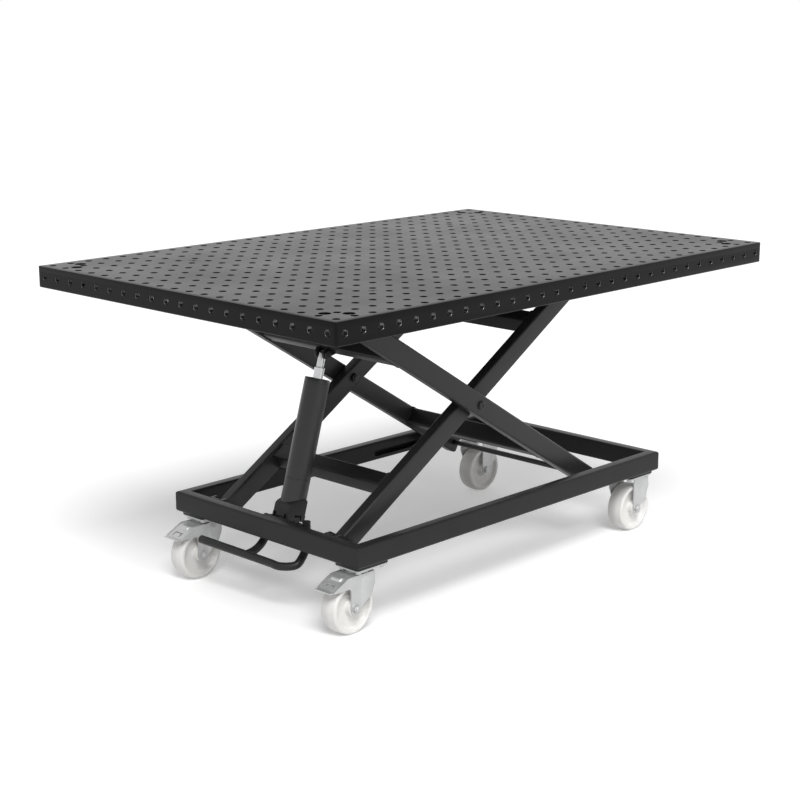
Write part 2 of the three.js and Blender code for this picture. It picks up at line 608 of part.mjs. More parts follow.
// Piston rod, hung from the rod pin by a flat eye.
function addRod() {
  const rod = new THREE.Group();
  rod.position.copy(ROD_PIN);
  rod.rotation.y = CYLINDER_TILT;
  table.add(rod);
  const neck = 2 * ROD_EYE_RADIUS;
  const length = CYLINDER_LENGTH - BARREL_START - ROD_TIP_RISE;
  const eye = new THREE.Shape();
  eye.absarc(0, 0, ROD_EYE_RADIUS, 0, Math.PI);
  eye.lineTo(-ROD_EYE_RADIUS, -neck);
  eye.lineTo(ROD_EYE_RADIUS, -neck);
  eye.closePath();
  const tongue = alongY(eye, -ROD_EYE_WIDTH / 2, ROD_EYE_WIDTH / 2, EAR_STEPS);
  const shaft = pinZ(ROD_DIAMETER, -length, -neck - GAP, 0, 0, ROUND_SIDES);
  const collarStart = -neck - ROD_COLLAR_HEIGHT;
  const collar = pinZ(ROD_DIAMETER + 2 * ROD_COLLAR_RIM, collarStart, -neck + GAP, 0, 0, ROUND_SIDES);
  const whole = cut(join(tongue, collar, shaft), boreY(ROD_PIN_DIAMETER, -ROD_EYE_WIDTH, ROD_EYE_WIDTH));
  addPart(rod, 'piston_rod', whole, CHROME);
}

// Foot bracket: two ears that hold the cylinder's foot pin, and a lug that shares the pedal shaft with them.
const PEDAL_PIVOT = new THREE.Vector3(FRAME_FRONT + TUBE_WIDTH + PEDAL_PIVOT_SETBACK, 0,
  BASE_BOTTOM + PEDAL_PIVOT_RISE);

function addCylinderFoot() {
  const ear0 = PUMP_BOSS_WIDTH / 2 + RUNNING_GAP;
  const earEnd = ear0 + BRACKET_PLATE;
  const [z0, z1] = [BASE_BOTTOM + BRACKET_MARGIN, BASE_TOP - BRACKET_MARGIN];
  const foot = CYLINDER_FOOT;
  const nose = new THREE.Shape();
  nose.moveTo(FRAME_BACK_X, z0);
  nose.lineTo(foot.x, foot.z - FOOT_EAR_RADIUS);
  nose.absarc(foot.x, foot.z, FOOT_EAR_RADIUS, -Math.PI / 2, Math.PI / 2);
  nose.lineTo(FRAME_BACK_X, foot.z + FOOT_EAR_RADIUS);
  nose.closePath();
  const ears = [1, -1].map((side) => onSide(alongY(nose, ear0, earEnd, EAR_STEPS), side));
  const lug = new THREE.Shape();
  lug.moveTo(FRAME_BACK_X, PEDAL_PIVOT.z - PEDAL_LUG_RADIUS);
  lug.absarc(PEDAL_PIVOT.x, PEDAL_PIVOT.z, PEDAL_LUG_RADIUS, -Math.PI / 2, Math.PI / 2);
  lug.lineTo(FRAME_BACK_X, PEDAL_PIVOT.z + PEDAL_LUG_RADIUS);
  lug.closePath();
  const lugs = [PEDAL_LUG_Y, -earEnd, ear0].map((y) => alongY(lug, y, y + BRACKET_PLATE, EAR_STEPS));
  const back = block(FRAME_BACK_X, FRAME_BACK_X + BRACKET_BACK, PEDAL_LUG_Y, earEnd, z0, z1);
  const pinEnd = earEnd + THROUGH;
  const pin = pinY(FOOT_PIN_DIAMETER, -pinEnd, pinEnd, foot.x, foot.z);
  const lugEnd = PEDAL_LUG_Y - THROUGH;
  const shaftBore = boreY(PEDAL_SHAFT_DIAMETER, lugEnd, pinEnd, PEDAL_PIVOT.x, PEDAL_PIVOT.z);
  const bracket = cut(join(...ears, back, ...lugs, pin), shaftBore);
  addPart(table, 'cylinder_foot_bracket', bracket, POWDER_BLACK);
}

// Pedal: one bent bar with a second leg welded to it, turning on a shaft behind the front beam.
// Its bar runs outwards and upwards to its tip, clear of the castor that swivels beside it.
function bar(points) {
  const path = new THREE.CatmullRomCurve3(points, false, 'centripetal');
  const section = ring(0, 0, PEDAL_BAR_DIAMETER, BAR_SIDES);
  const steps = BAR_STEPS * (points.length - 1);
  return new THREE.ExtrudeGeometry(section, { steps, bevelEnabled: false, extrudePath: path });
}

// A leg leaves the bar, dips under the front beam and climbs behind it to the given height.
function pedalLeg(y, barX, barZ, top) {
  const run = PEDAL_PIVOT.x - barX;
  const rise = BASE_BOTTOM - barZ;
  const bends = PEDAL_LEG_BENDS.map(([along, up]) =>
    new THREE.Vector3(barX + along * run, y, barZ + up * rise));
  return [
    new THREE.Vector3(barX, y, barZ),
    ...bends,
    new THREE.Vector3(PEDAL_PIVOT.x, y, (BASE_BOTTOM + PEDAL_PIVOT.z) / 2),
    new THREE.Vector3(PEDAL_PIVOT.x, y, top),
  ];
}

function addPedal() {
  const [barX, barZ] = [FRAME_FRONT - PEDAL_REACH, BASE_BOTTOM - PEDAL_DROP];
  const { x, z } = PEDAL_PIVOT;
  const bend = new THREE.Vector3(barX, PEDAL_NEAR_LEG_Y + PEDAL_CORNER, barZ);
  const tip = new THREE.Vector3(barX - PEDAL_TIP_REACH, PEDAL_TIP_Y, barZ + PEDAL_TIP_RISE);
  const barAt = (y) => bend.clone().lerp(tip, (y - bend.y) / (tip.y - bend.y));
  const nearLeg = pedalLeg(PEDAL_NEAR_LEG_Y, barX, barZ, z + PEDAL_HOOK_RISE);
  const main = bar([tip, barAt(bend.y + PEDAL_CORNER), bend, ...nearLeg.slice(1)]);
  const joint = barAt(PEDAL_FAR_LEG_Y);
  const farLeg = bar(pedalLeg(PEDAL_FAR_LEG_Y, joint.x, joint.z, z - PEDAL_EYE_RADIUS));
  const eye = new THREE.Shape();
  eye.absarc(x, z, PEDAL_EYE_RADIUS, 0, Math.PI);
  eye.lineTo(x - PEDAL_EYE_RADIUS, z - PEDAL_BAR_DIAMETER);
  eye.lineTo(x + PEDAL_EYE_RADIUS, z - PEDAL_BAR_DIAMETER);
  eye.closePath();
  const eyeHalf = PEDAL_EYE_WIDTH / 2;
  const farEye = alongY(eye, PEDAL_FAR_LEG_Y - eyeHalf, PEDAL_FAR_LEG_Y + eyeHalf, EAR_STEPS);
  const shaft0 = PEDAL_NEAR_LEG_Y - PEDAL_BAR_DIAMETER / 2 - THROUGH;
  const shaft1 = PEDAL_FAR_LEG_Y + PEDAL_BAR_DIAMETER / 2 + THROUGH;
  const pedal = cut(join(main, farLeg, farEye), boreY(PEDAL_SHAFT_DIAMETER, shaft0, shaft1, x, z));
  addPart(table, 'foot_pedal', pedal, POWDER_BLACK);
  addPart(table, 'pedal_shaft', pinY(PEDAL_SHAFT_DIAMETER, shaft0, shaft1, x, z), BLACK_OXIDE);
}

// Castors. Each is drawn at its own swivel axis, wheel trailing to -X, and set into place.
function wheelGeometry() {
  const [half, hub, web] = [WHEEL_WIDTH / 2, HUB_WIDTH / 2, WEB_THICKNESS / 2];
  const facet = 1 / Math.cos(Math.PI / ROUND_SIDES);
  const tread = WHEEL_RADIUS * facet;
  const edge = WHEEL_RADIUS - RIM_THICKNESS / 3;
  const rim = WHEEL_RADIUS - RIM_THICKNESS;
  const hubRadius = HUB_DIAMETER / 2;
  const bore = (AXLE_DIAMETER / 2 + RUNNING_GAP) * facet;
  const side = [[tread, half / 2], [edge, half], [rim, half], [rim, web], [hubRadius, web],
    [hubRadius, hub], [bore, hub]];
  const mirrored = side.map(([r, y]) => [r, -y]).reverse();
  const profile = [...mirrored, ...side, mirrored[0]].map(([r, y]) => new THREE.Vector2(r, y));
  return new THREE.LatheGeometry(profile, ROUND_SIDES).rotateY(Math.PI / ROUND_SIDES);
}

// Fork legs on both sides of the wheel, the crown between them and the axle with its nuts.
function forkGeometry(leg, axleX, crownHalf, crownTop) {
  const sides = [1, -1].map((side) => onSide(alongY(leg, FORK_INNER, FORK_OUTER, EAR_STEPS), side));
  const crown = block(-crownHalf, crownHalf, -FORK_OUTER, FORK_OUTER, crownTop - FORK_PLATE, crownTop);
  const nutEnd = FORK_OUTER + AXLE_NUT_HEIGHT;
  const axle = join(
    pinY(AXLE_DIAMETER, -FORK_OUTER - THROUGH, FORK_OUTER + THROUGH, axleX, WHEEL_RADIUS),
    pinY(AXLE_NUT, FORK_OUTER - GAP, nutEnd, axleX, WHEEL_RADIUS, NUT_SIDES),
    pinY(AXLE_NUT, -nutEnd, -FORK_OUTER + GAP, axleX, WHEEL_RADIUS, NUT_SIDES));
  return join(...sides, crown, axle);
}

// Side of a swivel fork: a tapered leg, and a hood that runs out over the wheel to cover the brake.
function swivelLeg() {
  const half = BEARING_DIAMETER / 2;
  const tipZ = CROWN_TOP - HOOD_TIP_DROP;
  const archZ = CROWN_TOP - HOOD_ARCH_DROP;
  const toe = -CASTOR_TRAIL - FORK_TOE_RADIUS;
  const leg = new THREE.Shape();
  leg.moveTo(half, CROWN_TOP);
  leg.lineTo(half, CROWN_TOP - SWIVEL_CROWN_DEPTH);
  leg.lineTo(-CASTOR_TRAIL + FORK_TOE_RADIUS, WHEEL_RADIUS);
  leg.absarc(-CASTOR_TRAIL, WHEEL_RADIUS, FORK_TOE_RADIUS, 0, -Math.PI, true);
  leg.lineTo(toe, archZ - FORK_TOE_RADIUS / 2);
  leg.quadraticCurveTo(toe, archZ, toe - FORK_TOE_RADIUS / 2, archZ);
  leg.lineTo(-HOOD_KNEE - FORK_TOE_RADIUS / 2, archZ);
  leg.lineTo(-HOOD_TIP, tipZ);
  leg.lineTo(-HOOD_KNEE, CROWN_TOP);
  leg.closePath();
  return leg;
}

function fixedLeg(crownTop) {
  const half = FIXED_CROWN_LENGTH / 2;
  const leg = new THREE.Shape();
  leg.moveTo(half, crownTop);
  leg.lineTo(half, crownTop - FIXED_CROWN_DEPTH);
  leg.lineTo(FORK_TOE_RADIUS, WHEEL_RADIUS);
  leg.absarc(0, WHEEL_RADIUS, FORK_TOE_RADIUS, 0, -Math.PI, true);
  leg.lineTo(-half, crownTop - FIXED_CROWN_DEPTH);
  leg.lineTo(-half, crownTop);
  leg.closePath();
  return leg;
}

function headPlate(thickness) {
  const top = CASTOR_HEIGHT - GAP;
  return alongZ(roundedRect(HEAD_LENGTH, HEAD_WIDTH, TUBE_RADIUS), top - thickness, top);
}

// Brake lever: a bent plate between the hood's cheeks, with a toe to step on, turning on its own pin.
function brakeLever() {
  const half = FORK_INNER - RUNNING_GAP;
  const inner = -BEARING_DIAMETER / 2 - 2 * RUNNING_GAP;
  const top = CROWN_TOP - 2 * RUNNING_GAP;
  const tipZ = top - HOOD_TIP_DROP;
  const plate = FORK_PLATE;
  const toe = -HOOD_TIP - LEVER_TOE;
  const outline = polygon([
    [inner, top], [-HOOD_KNEE, top], [-HOOD_TIP, tipZ], [toe, tipZ + RUNNING_GAP], [toe, tipZ - plate],
    [-HOOD_TIP + plate, tipZ - plate], [-HOOD_KNEE + plate, top - plate], [inner, top - plate],
  ]);
  const pinPlace = [-LEVER_PIN_SETBACK, CROWN_TOP - LEVER_PIN_DROP];
  const pin = pinY(LEVER_PIN_DIAMETER, -FORK_OUTER, FORK_OUTER, ...pinPlace);
  const window = block(-HOOD_TIP + 3 * plate, -HOOD_KNEE - 3 * plate, -half / 2, half / 2, tipZ - plate, top);
  return join(cut(alongY(outline, -half, half), window), pin);
}

function addSwivelCastor(name, y) {
  const castor = new THREE.Group();
  castor.position.set(FRAME_FRONT + FRONT_SWIVEL_SETBACK, y, 0);
  table.add(castor);
  const bearing = pinZ(BEARING_DIAMETER, CROWN_TOP + GAP, CASTOR_HEIGHT - HEAD_THICKNESS, 0, 0, ROUND_SIDES);
  addPart(castor, `castor_head_${name}`, join(headPlate(HEAD_THICKNESS), bearing), ZINC);
  const fork = forkGeometry(swivelLeg(), -CASTOR_TRAIL, BEARING_DIAMETER / 2, CROWN_TOP);
  const across = FORK_OUTER + THROUGH;
  const leverPin = [-LEVER_PIN_SETBACK, CROWN_TOP - LEVER_PIN_DROP];
  const leverBore = boreY(LEVER_PIN_DIAMETER, -across, across, ...leverPin);
  addPart(castor, `castor_fork_${name}`, cut(fork, leverBore), ZINC);
  const wheel = wheelGeometry().translate(-CASTOR_TRAIL, 0, WHEEL_RADIUS);
  addPart(castor, `castor_wheel_${name}`, wheel, POLYAMIDE);
  addPart(castor, `brake_lever_${name}`, brakeLever(), ZINC);
}

function addFixedCastor(name, y) {
  const castor = new THREE.Group();
  castor.position.set(FRAME_FRONT + BASE_LENGTH - REAR_CASTOR_SETBACK, y, 0);
  table.add(castor);
  const crownTop = CASTOR_HEIGHT - GAP;
  const fork = forkGeometry(fixedLeg(crownTop), 0, FIXED_CROWN_LENGTH / 2, crownTop);
  addPart(castor, `castor_fork_${name}`, join(headPlate(FORK_PLATE), fork), ZINC);
  addPart(castor, `castor_wheel_${name}`, wheelGeometry().translate(0, 0, WHEEL_RADIUS), POLYAMIDE);
}

function addCastors() {
  const halfLength = MOUNT_PLATE_LENGTH / 2;
  const plateY = FRAME_WIDTH / 2 - MOUNT_PLATE_INSET - MOUNT_PLATE_WIDTH / 2;
  const outline = roundedRect(MOUNT_PLATE_LENGTH, MOUNT_PLATE_WIDTH, TUBE_RADIUS);
  const ends = [
    ['front', FRAME_FRONT + MOUNT_PLATE_INSET + halfLength],
    ['rear', FRAME_FRONT + BASE_LENGTH - MOUNT_PLATE_INSET - halfLength],
  ];
  for (const [name, side] of SIDES) {
    addSwivelCastor(`front_${name}`, side * CASTOR_LINE_Y);
    addFixedCastor(`rear_${name}`, side * CASTOR_LINE_Y);
    for (const [end, x] of ends) {
      const plate = alongZ(outline, CASTOR_HEIGHT, BASE_BOTTOM - GAP).translate(x, plateY, 0);
      addPart(table, `castor_mount_${end}_${name}`, onSide(plate, side), POWDER_BLACK);
    }
  }
}

addTabletop();
addFrame('lift', RAIL_LENGTH, RAIL_BOTTOM - GAP, UPPER_PIVOT.z);
addFrame('base', BASE_LENGTH, BASE_BOTTOM, LOWER_PIVOT.z);
addPivots();
addInnerArms();
addOuterArms();
addCylinder();
addRod();
addCylinderFoot();
addPedal();
addCastors();

export default table;
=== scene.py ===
# Mobile assembly table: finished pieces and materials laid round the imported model.
# Shapes are drawn in millimetres in the model's own frame and turned to metres when a piece is made.
import json
import math

import bmesh
import bpy
from mathutils import Matrix, Vector
from mathutils.geometry import delaunay_2d_cdt, interpolate_bezier


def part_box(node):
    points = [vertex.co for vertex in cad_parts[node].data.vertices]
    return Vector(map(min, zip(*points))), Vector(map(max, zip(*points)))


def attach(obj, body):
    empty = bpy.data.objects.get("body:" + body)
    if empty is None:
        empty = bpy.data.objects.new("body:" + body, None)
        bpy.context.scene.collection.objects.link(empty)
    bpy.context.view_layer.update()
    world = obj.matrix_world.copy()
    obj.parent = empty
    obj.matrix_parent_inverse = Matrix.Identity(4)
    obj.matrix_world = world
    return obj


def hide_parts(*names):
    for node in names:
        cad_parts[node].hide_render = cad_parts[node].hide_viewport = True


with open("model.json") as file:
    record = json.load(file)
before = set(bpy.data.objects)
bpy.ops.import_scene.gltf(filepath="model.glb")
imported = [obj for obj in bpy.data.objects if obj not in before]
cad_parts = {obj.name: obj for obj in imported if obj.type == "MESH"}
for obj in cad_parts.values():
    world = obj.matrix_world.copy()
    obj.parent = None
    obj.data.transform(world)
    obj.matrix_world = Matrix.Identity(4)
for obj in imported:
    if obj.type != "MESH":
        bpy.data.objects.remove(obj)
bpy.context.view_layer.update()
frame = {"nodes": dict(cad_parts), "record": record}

MM = 0.001
BODY = {node: body for body, nodes in frame["record"]["behaviour"]["bodies"].items() for node in nodes}
SIDES = (("left", 1), ("right", -1))
CORNERS = [(sx, sy) for sx in (-1, 1) for sy in (-1, 1)]

# Rounding of rims, gap between seated pieces, room beside a turning one, reach into a neighbour
EDGE = 0.8
SEAT = 0.3
PLAY = 0.5
OVERLAP = 0.1

# Tabletop
TOP_LENGTH = 1500
TOP_WIDTH = 1000
TOP_DEPTH = 50
PLATE = 12
SKIRT = 12
TOP_CORNER = 5
TOP_EDGE = 1.2
SKIRT_EDGE = 2
HOLE_PITCH = 50
HOLE_RADIUS = 8
HOLE_CHAMFER = 0.9
HOLE_SIDES = 20
BORE_WALL = 0.6
BORE_GAP = 0.05
CORNER_HOLE_RADIUS = 13
CORNER_HOLE_NEAR = 50
CORNER_HOLE_FAR = 84
TOP_BOLT_X = 450
TOP_BOLT_Y = 300
TOP_BOLT_RADIUS = 9
TOP_BOLT_DEPTH = 10
TOP_BOLT_GAP = 0.25
TOP_BOLT_SUNK = 0.5
SOCKET_RADIUS = 4.4
SOCKET_DEPTH = 5

# Rectangular tubes
TUBE_HEIGHT = 50
TUBE_WIDTH = 30
TUBE_WALL = 3
TUBE_RADIUS = 6
TUBE_STEPS = 6
CROSSBAR_DEPTH = 45
CROSSBAR_WIDTH = 40
TUBE_END_DEPTH = 60

# Frames and scissor
FRAME_FRONT = -514
FRAME_WIDTH = 630
BASE_BOTTOM = 160
BASE_TOP = BASE_BOTTOM + TUBE_HEIGHT
ARM_ANGLE = math.radians(31.65)
LOWEST_ANGLE = math.radians(28)
HIGHEST_ANGLE = math.radians(51.65)
ARM_SPAN = 975
ARM_OVERHANG = 22
ARM_END_RADIUS = 10
OUTER_ARM_FACE = 246
INNER_ARM_FACE = 214
LOWER_PIVOT = Vector((-449, 0, 179))
CENTRE_PIVOT = LOWER_PIVOT + Vector((math.cos(ARM_ANGLE), 0, math.sin(ARM_ANGLE))) * ARM_SPAN / 2
UPPER_PIVOT = LOWER_PIVOT + Vector((0, 0, ARM_SPAN * math.sin(ARM_ANGLE)))
RAIL_RISE = 27.4
RAIL_TOP = UPPER_PIVOT.z + RAIL_RISE
RAIL_BOTTOM = RAIL_TOP - TUBE_HEIGHT
TOP_HEIGHT = RAIL_TOP + TOP_DEPTH
HOLE_HEIGHT = TOP_HEIGHT - TOP_DEPTH / 2
SLOT_HEIGHT = 16
SLOT_ROOM = 16
SLOT_START = LOWER_PIVOT.x + ARM_SPAN * math.cos(HIGHEST_ANGLE) - SLOT_ROOM
SLOT_END = LOWER_PIVOT.x + ARM_SPAN * math.cos(LOWEST_ANGLE) + SLOT_ROOM
SLOT_DEPTH = 24
RAIL_MARGIN = 80
BASE_MARGIN = 172
RAIL_LENGTH = SLOT_END + RAIL_MARGIN - FRAME_FRONT
BASE_LENGTH = SLOT_END + BASE_MARGIN - FRAME_FRONT
CROSSBAR_FROM_END = 190
BACK_X = FRAME_FRONT + TUBE_WIDTH
BRACKET_PLATE = 6
BRACKET_BACK = 5
BRACKET_NOSE = 18
BRACKET_CUT = 17
PIN_RADIUS = 8
PIN_HEAD = 13
PIN_HEAD_HEIGHT = 5
NUT_RADIUS = 12
NUT_HEIGHT = 8
NUT_TURNED = 0.93
AXLE_RADIUS = 7
BEAD_RADIUS = 2.6
BEAD_SIDES = 8
BEAD_SPACING = 2.4
BEAD_RIPPLE = 0.12
BEAD_WAVE = 2.1

# Lift cylinder, pump and pedal
BARREL_RADIUS = 30
BARREL_START = 36
BARREL_SEAM = 96
BARREL_DISH = 3
GLAND_LINE = 11
GLAND_PLAY = 7.5
GLAND_DEPTH = 20
ROD_SHOWING = 59.4
ROD_SHORTFALL = 101
ROD_RADIUS = 12
ROD_NECK_RADIUS = 8.7
ROD_NECK = 33
ROD_EYE_HALF = 9
ROD_EAR_Y = ROD_EYE_HALF + PLAY
ROD_PIN_RADIUS = 6
ROD_PIN_DROP = 35
ROD_PIN_SETBACK = 12
ROD_PIN_HEAD = 9.5
ROD_BRACKET_BACK = 14
FOOT = Vector((-427, 0, 190))
FOOT_PIN_RADIUS = 7
FOOT_EAR_RADIUS = 10
FOOT_EAR_RISE = 12
FOOT_EAR_EDGE = 0.6
FOOT_HEAD_RADIUS = 9.5
PUMP_FRONT = 34.5
PUMP_REAR = 24.5
PUMP_HALF = 26
PUMP_CORNER = 5
PUMP_EDGE = 5
PUMP_SHOULDER = 28
PUMP_TURN = 43
PUMP_CREST = 53.5
PUMP_CREST_X = 7
PUMP_REAR_TOP = 49.6
PUMP_DROP = 2
PUMP_SLOT_TOP = 12.3
PUMP_CHEEK = 21
PUMP_GRID = 2.5
PUMP_INSETS = (0, 0.4, 1.2, 2.4, 3.6, 5, 8, 12, 16, 20, 24)
BOSS_HALF = 14
BOSS_SHOULDER = 16
PEDAL_PIVOT = Vector((-470, 0, 196))
PEDAL_RADIUS = 9.7
PEDAL_BAR = Vector((-526, 0, 115))
PEDAL_TIP = Vector((-548, 184, 127))
PEDAL_NEAR_Y = -104
PEDAL_FAR_Y = 33
PEDAL_CORNER = 30
PEDAL_LEG_BENDS = ((0.4, 0.1), (0.74, 0.4), (0.95, 0.85))
PEDAL_HOOK_RISE = 20
PEDAL_EYE_RADIUS = 9.5
PEDAL_EYE_HALF = 5.5
PEDAL_EYE_DROP = 22
PEDAL_DOME = 5
DOME_TURNS = (75, 55, 35, 15)
PEDAL_SHAFT_RADIUS = 6
PEDAL_LUG_Y = -80
PEDAL_LUG_RADIUS = 11

# Castors
WHEEL_RADIUS = 62.5
HUB_HALF = 25
FORK_INNER = 25.5
FORK_OUTER = 28.5
CROWN_TOP = 138
CASTOR_HEIGHT = 152
TRAIL = 32
TOE_RADIUS = 14
TOE_ROUND = 13.5
TOE_LOW = WHEEL_RADIUS - TOE_RADIUS
FORK_SHEET = 3
AXLE_BOLT_RADIUS = 5
AXLE_BOLT_END = 8
AXLE_NUT_RADIUS = 9.4
AXLE_NUT_END = 6.6
WASHER_RADIUS = 11
WASHER = 1.3
HEAD_LENGTH = 93
HEAD_WIDTH = 74
HEAD_THICKNESS = 4
BEARING_RADIUS = 28
CASTOR_Y = 264
FRONT_CASTOR_X = -466
REAR_CASTOR_INSET = 58.5
REAR_CASTOR_X = FRAME_FRONT + BASE_LENGTH - REAR_CASTOR_INSET
CREASE_X = -16
CREASE_WIDTH = 44
CREASE_BULGE = 5.5
CREASE_FADE = 14
HOOD_KNEE = -54
LEVER_HALF = 24.6
LEVER_START = -29
LEVER_BEND = -97
LEVER_TOE = -108
LEVER_FALL = 22
LEVER_LIP = 9
LEVER_SHEET = 2.4
LEVER_PIN_RADIUS = 4
LEVER_PIN_X = -40
LEVER_PIN_DROP = 7
LEVER_GRID = 1.6
RIDGE_AT = 9
RIDGE_REACH = 15
RIDGE_HALF = 6.5
RIDGE_HEIGHT = 3.4
TONGUE_START = 53
TONGUE_END = 68
TONGUE_HALF = 13
TONGUE_CUT = 4
LEVER_BUMPS = ((11.2, -2.6, 5, 1.8), (18.6, 10.7, 4.5, 1.6))
SHEET_SPACING = 4
NUT_X = 35
NUT_Y = 25
MOUNT_LENGTH = 97
MOUNT_WIDTH = 75

ROUND_SIDES = 48
SMALL_SIDES = 24
CURVE_STEPS = 8
BEVEL_STEPS = 2
SHARP_ANGLE = math.radians(38)
TOUCH = 1e-5
SAME = 0.01


# Outlines
def arc(cx, cy, radius, start, end, steps):
    """Points of an arc with both its ends, angles in degrees."""
    turns = [math.radians(start + (end - start) * i / steps) for i in range(steps + 1)]
    return [(cx + radius * math.cos(turn), cy + radius * math.sin(turn)) for turn in turns]


def circle(cx, cy, radius, sides):
    return arc(cx, cy, radius, 0, 360, sides)[:-1]


def rounded_rect(width, height, radius, steps=TUBE_STEPS):
    x, y = width / 2 - radius, height / 2 - radius
    points = []
    for sx, sy, start in ((1, 1, 0), (-1, 1, 90), (-1, -1, 180), (1, -1, 270)):
        points += arc(sx * x, sy * y, radius, start, start + 90, steps)
    return points


def distinct(points):
    """The points without those that repeat the one before."""
    return [p for i, p in enumerate(points) if math.dist(p, points[i - 1]) > SAME]


def rounded_polygon(corners, steps=5, closed=True):
    """Polygon of (x, y, radius) corners, each drawn as a short curve."""
    points = []
    count = len(corners)
    for i, (x, y, radius) in enumerate(corners):
        here = Vector((x, y))
        ends = not closed and i in (0, count - 1)
        if not radius or ends:
            points.append((x, y))
            continue
        before = Vector(corners[i - 1][:2]) - here
        after = Vector(corners[(i + 1) % count][:2]) - here
        half = before.angle(after) / 2
        reach = min(radius / math.tan(half), before.length / 2, after.length / 2)
        start, end = here + before.normalized() * reach, here + after.normalized() * reach
        for k in range(steps + 1):
            t = k / steps
            points.append(tuple(start * (1 - t) ** 2 + here * 2 * t * (1 - t) + end * t * t))
    return distinct(points)


def fine(loop, spacing):
    """The loop with points added along its straight stretches."""
    points = []
    for (ax, ay), (bx, by) in zip(loop, loop[1:] + loop[:1]):
        steps = max(1, int(math.hypot(bx - ax, by - ay) / spacing))
        points += [(ax + (bx - ax) * k / steps, ay + (by - ay) * k / steps) for k in range(steps)]
    return points


def slot_outline(x0, x1, y, height):
    radius = height / 2
    return arc(x1 - radius, y, radius, -90, 90, 8) + arc(x0 + radius, y, radius, 90, 270, 8)


# Directions in which an outline is drawn out
def flat_z(u, v, w):
    return (u, v, w)


def flat_y(u, v, w):
    return (u, w, v)


TURN_Y = Matrix.Rotation(-math.pi / 2, 4, "X")


def across(x, z):
    """Place of a turned body that lies along Y."""
    return Matrix.Translation((x, 0, z)) @ TURN_Y


def ring(bm, points):
    return [bm.verts.new(point) for point in points]


def band(bm, first, second):
    """Faces between two rings of the same length, or between a ring and a tip."""
    if len(first) > len(second):
        first, second = second, first
    for i in range(len(second)):
        j = (i + 1) % len(second)
        if len(first) == 1:
            bm.faces.new((first[0], second[i], second[j]))
        else:
            bm.faces.new((first[i], first[j], second[j], second[i]))


def loft(bm, loops, closed=False, capped=False):
    """Rings through loops of points, joined in turn. Closed, the last one joins the first."""
    rings = [ring(bm, loop) for loop in loops]
    for first, second in zip(rings, rings[1:] + (rings[:1] if closed else [])):
        band(bm, first, second)
    if capped:
        bm.faces.new(rings[0])
        bm.faces.new(rings[-1])
    return rings


def lifted(levels):
    """Loops of (x, y) points, each raised to its height."""
    return [[(x, y, z) for x, y in loop] for loop, z in levels]


def prism(bm, outline, low, high, axes=flat_z, bevel=0.0):
    """Straight body of an outline, with both its rims rounded."""
    bottom, top = (ring(bm, [axes(u, v, w) for u, v in outline]) for w in (low, high))
    caps = [bm.faces.new(bottom), bm.faces.new(top)]
    band(bm, bottom, top)
    if bevel:
        rims = list({edge for cap in caps for edge in cap.edges})
        bmesh.ops.bevel(bm, geom=rims, offset=bevel, offset_type="OFFSET", segments=BEVEL_STEPS,
                        profile=0.5, affect="EDGES", clamp_overlap=True)


def block(bm, x0, x1, y0, y1, z0, z1):
    prism(bm, [(x0, y0), (x1, y0), (x1, y1), (x0, y1)], z0, z1, bevel=EDGE)


def lathe(bm, profile, sides, place=Matrix(), closed=False):
    """Turned body of (radius, height) pairs. A zero radius makes a point on the axis."""
    loops = []
    for radius, height in profile:
        outline = circle(0, 0, radius, sides) if radius else [(0, 0)]
        loops.append([place @ Vector((x, y, height)) for x, y in outline])
    loft(bm, loops, closed)


def pin(bm, radius, y0, y1, x, z, chamfer=EDGE):
    """Round bar along Y with chamfered ends."""
    profile = [(0, y0), (radius - chamfer, y0), (radius, y0 + chamfer),
               (radius, y1 - chamfer), (radius - chamfer, y1), (0, y1)]
    lathe(bm, profile, SMALL_SIDES, across(x, z))


def sweep(bm, path, radius, sides, closed=False, dome=0.0, ripple=0.0):
    """Round bar along a path of points. A dome rounds its first end."""
    points = [Vector(p) for p in path]
    radii = [radius * (1 + ripple * math.sin(BEAD_WAVE * i)) for i in range(len(points))]
    if dome:
        start = (points[0] - points[1]).normalized()
        turns = [math.radians(a) for a in DOME_TURNS]
        tip = points[0]
        points[0:1] = [tip - start * dome * (1 - math.sin(t)) for t in turns] + [tip - start * dome]
        radii[0:1] = [radius * math.cos(t) for t in turns] + [radius]
    count = len(points)
    side = None
    loops = []
    for i, point in enumerate(points):
        after = points[(i + 1) % count] if closed or i + 1 < count else point
        before = points[i - 1] if closed or i else point
        along = (after - before).normalized()
        if side is None:
            side = along.orthogonal().normalized()
        side = (side - along * side.dot(along)).normalized()
        up = along.cross(side)
        loops.append([point + (side * u + up * v) * radii[i] for u, v in circle(0, 0, 1, sides)])
    rings = loft(bm, loops, capped=not closed)
    if closed:
        best = min(range(sides), key=lambda k: (rings[-1][k].co - rings[0][0].co).length)
        band(bm, [rings[-1][(k + best) % sides] for k in range(sides)], rings[0])


def bead(bm, path):
    """Weld bead round a closed path."""
    sweep(bm, path, BEAD_RADIUS, BEAD_SIDES, closed=True, ripple=BEAD_RIPPLE)


def joined(loops):
    """Points and edges of closed loops, with each loop's point numbers."""
    points, edges, rims = [], [], []
    for loop in loops:
        rim = [len(points) + i for i in range(len(loop))]
        points += [Vector(point) for point in loop]
        edges += list(zip(rim, rim[1:] + rim[:1]))
        rims.append(rim)
    return points, edges, rims


def panel(bm, outline, holes, place):
    """Flat convex face with holes in it."""
    points, edges, rims = joined([outline, *holes])
    owner = [number for number, rim in enumerate(rims) for _ in rim]
    found = delaunay_2d_cdt(points, edges, [], 0, TOUCH)
    owners = [owner[source[0]] for source in found[3]]
    verts = ring(bm, [place(*point) for point in found[0]])
    for face in found[2]:
        kinds = {owners[i] for i in face}
        if len(kinds) > 1 or kinds == {0}:
            bm.faces.new([verts[i] for i in face])


